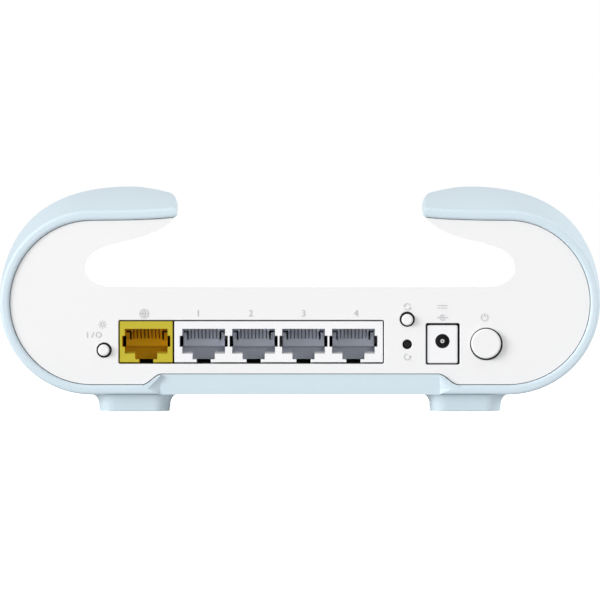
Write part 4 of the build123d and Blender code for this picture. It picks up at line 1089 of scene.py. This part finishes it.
def draw_direct_current(marks, centre):
    """Direct current: a line over three dashes."""
    x, z = centre
    half = 1.3 * SIGN_RADIUS
    dash = 0.27 * half
    upper = z + 0.35 * SIGN_RADIUS
    lower = z - 0.35 * SIGN_RADIUS
    marks.bar((x - half, upper), (x + half, upper))
    for share in (-1.0, 0.0, 1.0):
        middle = x + share * (half - dash)
        marks.bar((middle - dash, lower), (middle + dash, lower))


def draw_polarity(marks, centre):
    """Polarity: a point inside an open ring, with a lead to each side."""
    x, z = centre
    marks.arc(centre, 0.72 * SIGN_RADIUS, 35, 290)
    marks.arc(centre, 0.2 * SIGN_RADIUS, 0, FULL_TURN, steps=16)
    marks.bar((x + 0.42 * SIGN_RADIUS, z), (x + 1.5 * SIGN_RADIUS, z))
    marks.bar((x - 1.5 * SIGN_RADIUS, z), (x - 0.95 * SIGN_RADIUS, z))


def draw_power(marks, centre):
    """Power: an open ring with a bar at the top."""
    x, z = centre
    marks.arc(centre, 0.9 * SIGN_RADIUS, 125, 290)
    marks.bar((x, z + 0.2 * SIGN_RADIUS), (x, z + 1.15 * SIGN_RADIUS))


def on_panel(node):
    """The middle of a CAD node as a place on the panel, (x, z)."""
    return centre_of(node).xz


class ROUTER_OT_marks(bpy.types.Operator):
    """Raises the numbers and signs on the rear panel"""

    bl_idname = "router.marks"
    bl_label = "Panel marks"

    def execute(self, context):
        settings = context.scene.router_marks
        # Painted shade: the marks are grey, for the shade that white raised letters show
        grey, _, _ = moulded("mark_grey", context.scene.router_finish.mark_grey, roughness=0.45, cloud=0.05)
        first = centre_of("lan_sockets").x + NUMBER_SHIFT - (LAN_COUNT - 1) / 2 * NUMBER_PITCH
        row_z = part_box("lan_sockets")[1][2] + NUMBER_LIFT
        numbers = Marks(settings)
        for index in range(LAN_COUNT):
            numbers.text(str(index + 1), (first + index * NUMBER_PITCH, row_z), settings.height)
        add_piece("port_numbers", numbers.finish("port_numbers", grey), "housing")
        inlet_top = Vector((centre_of("power_inlet").x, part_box("power_inlet")[1][2]))
        signs = Marks(settings)
        draw_globe(signs, (centre_of("wan_socket").x + GLOBE_SHIFT, row_z))
        draw_lamp(signs, on_panel("led_button") + LAMP_PLACE)
        draw_on_off(signs, on_panel("led_button") + ON_OFF_PLACE)
        draw_pairing(signs, on_panel("wps_button") + PAIRING_PLACE)
        draw_reset(signs, on_panel("reset_stem") + RESET_PLACE)
        draw_direct_current(signs, inlet_top + DIRECT_CURRENT_PLACE)
        draw_polarity(signs, inlet_top + POLARITY_PLACE)
        draw_power(signs, on_panel("power_button") + POWER_PLACE)
        add_piece("panel_signs", signs.finish("panel_signs", grey), "housing")
        return {"FINISHED"}


# Soft lights: name, place in metres, watts, and the setting that gives the size
LIGHTS = (
    ("front_fill", (0.25, -2.2, 0.4), 3.0, "fill_size"),
    ("left_key", (-3.1, -2.1, 0.82), 132.0, "key_size"),
    ("right_fill", (2.0, -0.9, 0.22), 5.0, "fill_size"),
    ("right_side", (2.2, 0.35, 0.5), 30.0, "fill_size"),
)

# Glow of the surround at the horizon and straight up
SKY_LOW = 0.08
SKY_HIGH = 1.23

# Glow of the floor, and what the camera sees on top of it
FLOOR_GLOW = 0.2
FLOOR_SEEN_GLOW = 0.74

# Camera: width of its sensor in millimetres, and how far it sees in metres
SENSOR_WIDTH = 36.0
SIGHT = 100.0


class ROUTER_OT_stage(bpy.types.Operator):
    """Adds the floor, the lights and the camera"""

    bl_idname = "router.stage"
    bl_label = "Studio stage"

    def execute(self, context):
        stage = context.scene.router_stage
        scene = context.scene
        scene.view_settings.view_transform = "Standard"
        self.add_floor(scene, stage)
        self.add_sky(scene)
        for name, place, watts, size in LIGHTS:
            self.add_light(scene, name, place, watts, getattr(stage, size))
        self.add_camera(scene, stage)
        return {"FINISHED"}

    def add_floor(self, scene, stage):
        """Large pale floor."""
        half = stage.floor_size / 2
        mesh = bpy.data.meshes.new("floor")
        corners = [(-half, -half, 0), (half, -half, 0), (half, half, 0), (-half, half, 0)]
        mesh.from_pydata(corners, [], [(0, 1, 2, 3)])
        material, shader, _ = moulded(
            "floor_pale", FLOOR_PALE, roughness=0.9, cloud=0.01, grain=300.0, bump=0.0
        )
        tree = material.node_tree
        seen = add(tree, "ShaderNodeLightPath").outputs["Is Camera Ray"]
        shader.inputs["Emission Color"].default_value = (1.0, 1.0, 1.0, 1.0)
        glow = calculate(tree, "MULTIPLY_ADD", seen, FLOOR_SEEN_GLOW, FLOOR_GLOW)
        feed(tree, shader.inputs["Emission Strength"], glow)
        shader.inputs["Specular IOR Level"].default_value = 0.0
        mesh.materials.append(material)
        floor = bpy.data.objects.new("floor", mesh)
        scene.collection.objects.link(floor)

    def add_sky(self, scene):
        """Surround that lights from above and looks plain white."""
        world = bpy.data.worlds.new("studio")
        world.use_nodes = True
        tree = world.node_tree
        surround = tree.nodes["Background"]
        surround.inputs["Color"].default_value = (1.0, 1.0, 1.0, 1.0)
        way = add(tree, "ShaderNodeTexCoord").outputs["Generated"]
        rise = add(tree, "ShaderNodeMapRange")
        feed(tree, rise.inputs["Value"], parts_of(tree, way)["Z"])
        feed(tree, rise.inputs["To Min"], SKY_LOW)
        feed(tree, rise.inputs["To Max"], SKY_HIGH)
        glow = rise.outputs["Result"]
        seen = add(tree, "ShaderNodeLightPath").outputs["Is Camera Ray"]
        feed(tree, surround.inputs["Strength"], calculate(tree, "MAXIMUM", seen, glow))
        scene.world = world

    def add_light(self, scene, name, place, watts, size):
        """Soft light that looks at the rear panel."""
        data = bpy.data.lights.new(name, "AREA")
        data.size = size
        data.energy = watts
        light = bpy.data.objects.new(name, data)
        light.location = place
        light.rotation_euler = (PANEL_CENTRE - light.location).to_track_quat("-Z", "Y").to_euler()
        scene.collection.objects.link(light)

    def add_camera(self, scene, stage):
        """Long lens at deck height, square on to the rear panel."""
        data = bpy.data.cameras.new("camera")
        data.sensor_width = SENSOR_WIDTH
        data.lens = data.sensor_width * stage.camera_distance / stage.frame_width
        data.clip_end = SIGHT
        camera = bpy.data.objects.new("camera", data)
        camera.location = (0, PANEL_FACE - stage.camera_distance, stage.eye_height)
        camera.rotation_euler = (math.pi / 2, 0, 0)
        scene.collection.objects.link(camera)
        scene.camera = camera


STEPS = (
    ROUTER_OT_housing,
    ROUTER_OT_buttons,
    ROUTER_OT_sockets,
    ROUTER_OT_inlet,
    ROUTER_OT_board,
    ROUTER_OT_antennas,
    ROUTER_OT_screws,
    ROUTER_OT_marks,
    ROUTER_OT_stage,
)


class ROUTER_PT_looks(bpy.types.Panel):
    """Lists the router's steps"""

    bl_idname = "ROUTER_PT_looks"
    bl_label = "Router looks"
    bl_space_type = "VIEW_3D"
    bl_region_type = "UI"
    bl_category = "Router"

    def draw(self, context):
        for step in STEPS:
            self.layout.operator(step.bl_idname)


SETTINGS = {
    "router_finish": RouterFinishSettings,
    "router_tongues": RouterTongueSettings,
    "router_sockets": RouterSocketSettings,
    "router_marks": RouterMarkSettings,
    "router_screws": RouterScrewSettings,
    "router_stage": RouterStageSettings,
}
CLASSES = (*SETTINGS.values(), *STEPS, ROUTER_PT_looks)


def register():
    for cls in CLASSES:
        bpy.utils.register_class(cls)
    for name, group in SETTINGS.items():
        setattr(bpy.types.Scene, name, bpy.props.PointerProperty(type=group))


def unregister():
    for name in SETTINGS:
        delattr(bpy.types.Scene, name)
    for cls in reversed(CLASSES):
        bpy.utils.unregister_class(cls)


def main():
    register()
    bpy.ops.router.housing()
    bpy.ops.router.buttons()
    bpy.ops.router.sockets()
    bpy.ops.router.inlet()
    bpy.ops.router.board()
    bpy.ops.router.antennas()
    bpy.ops.router.screws()
    bpy.ops.router.marks()
    bpy.ops.router.stage()


if __name__ == "__main__":
    main()
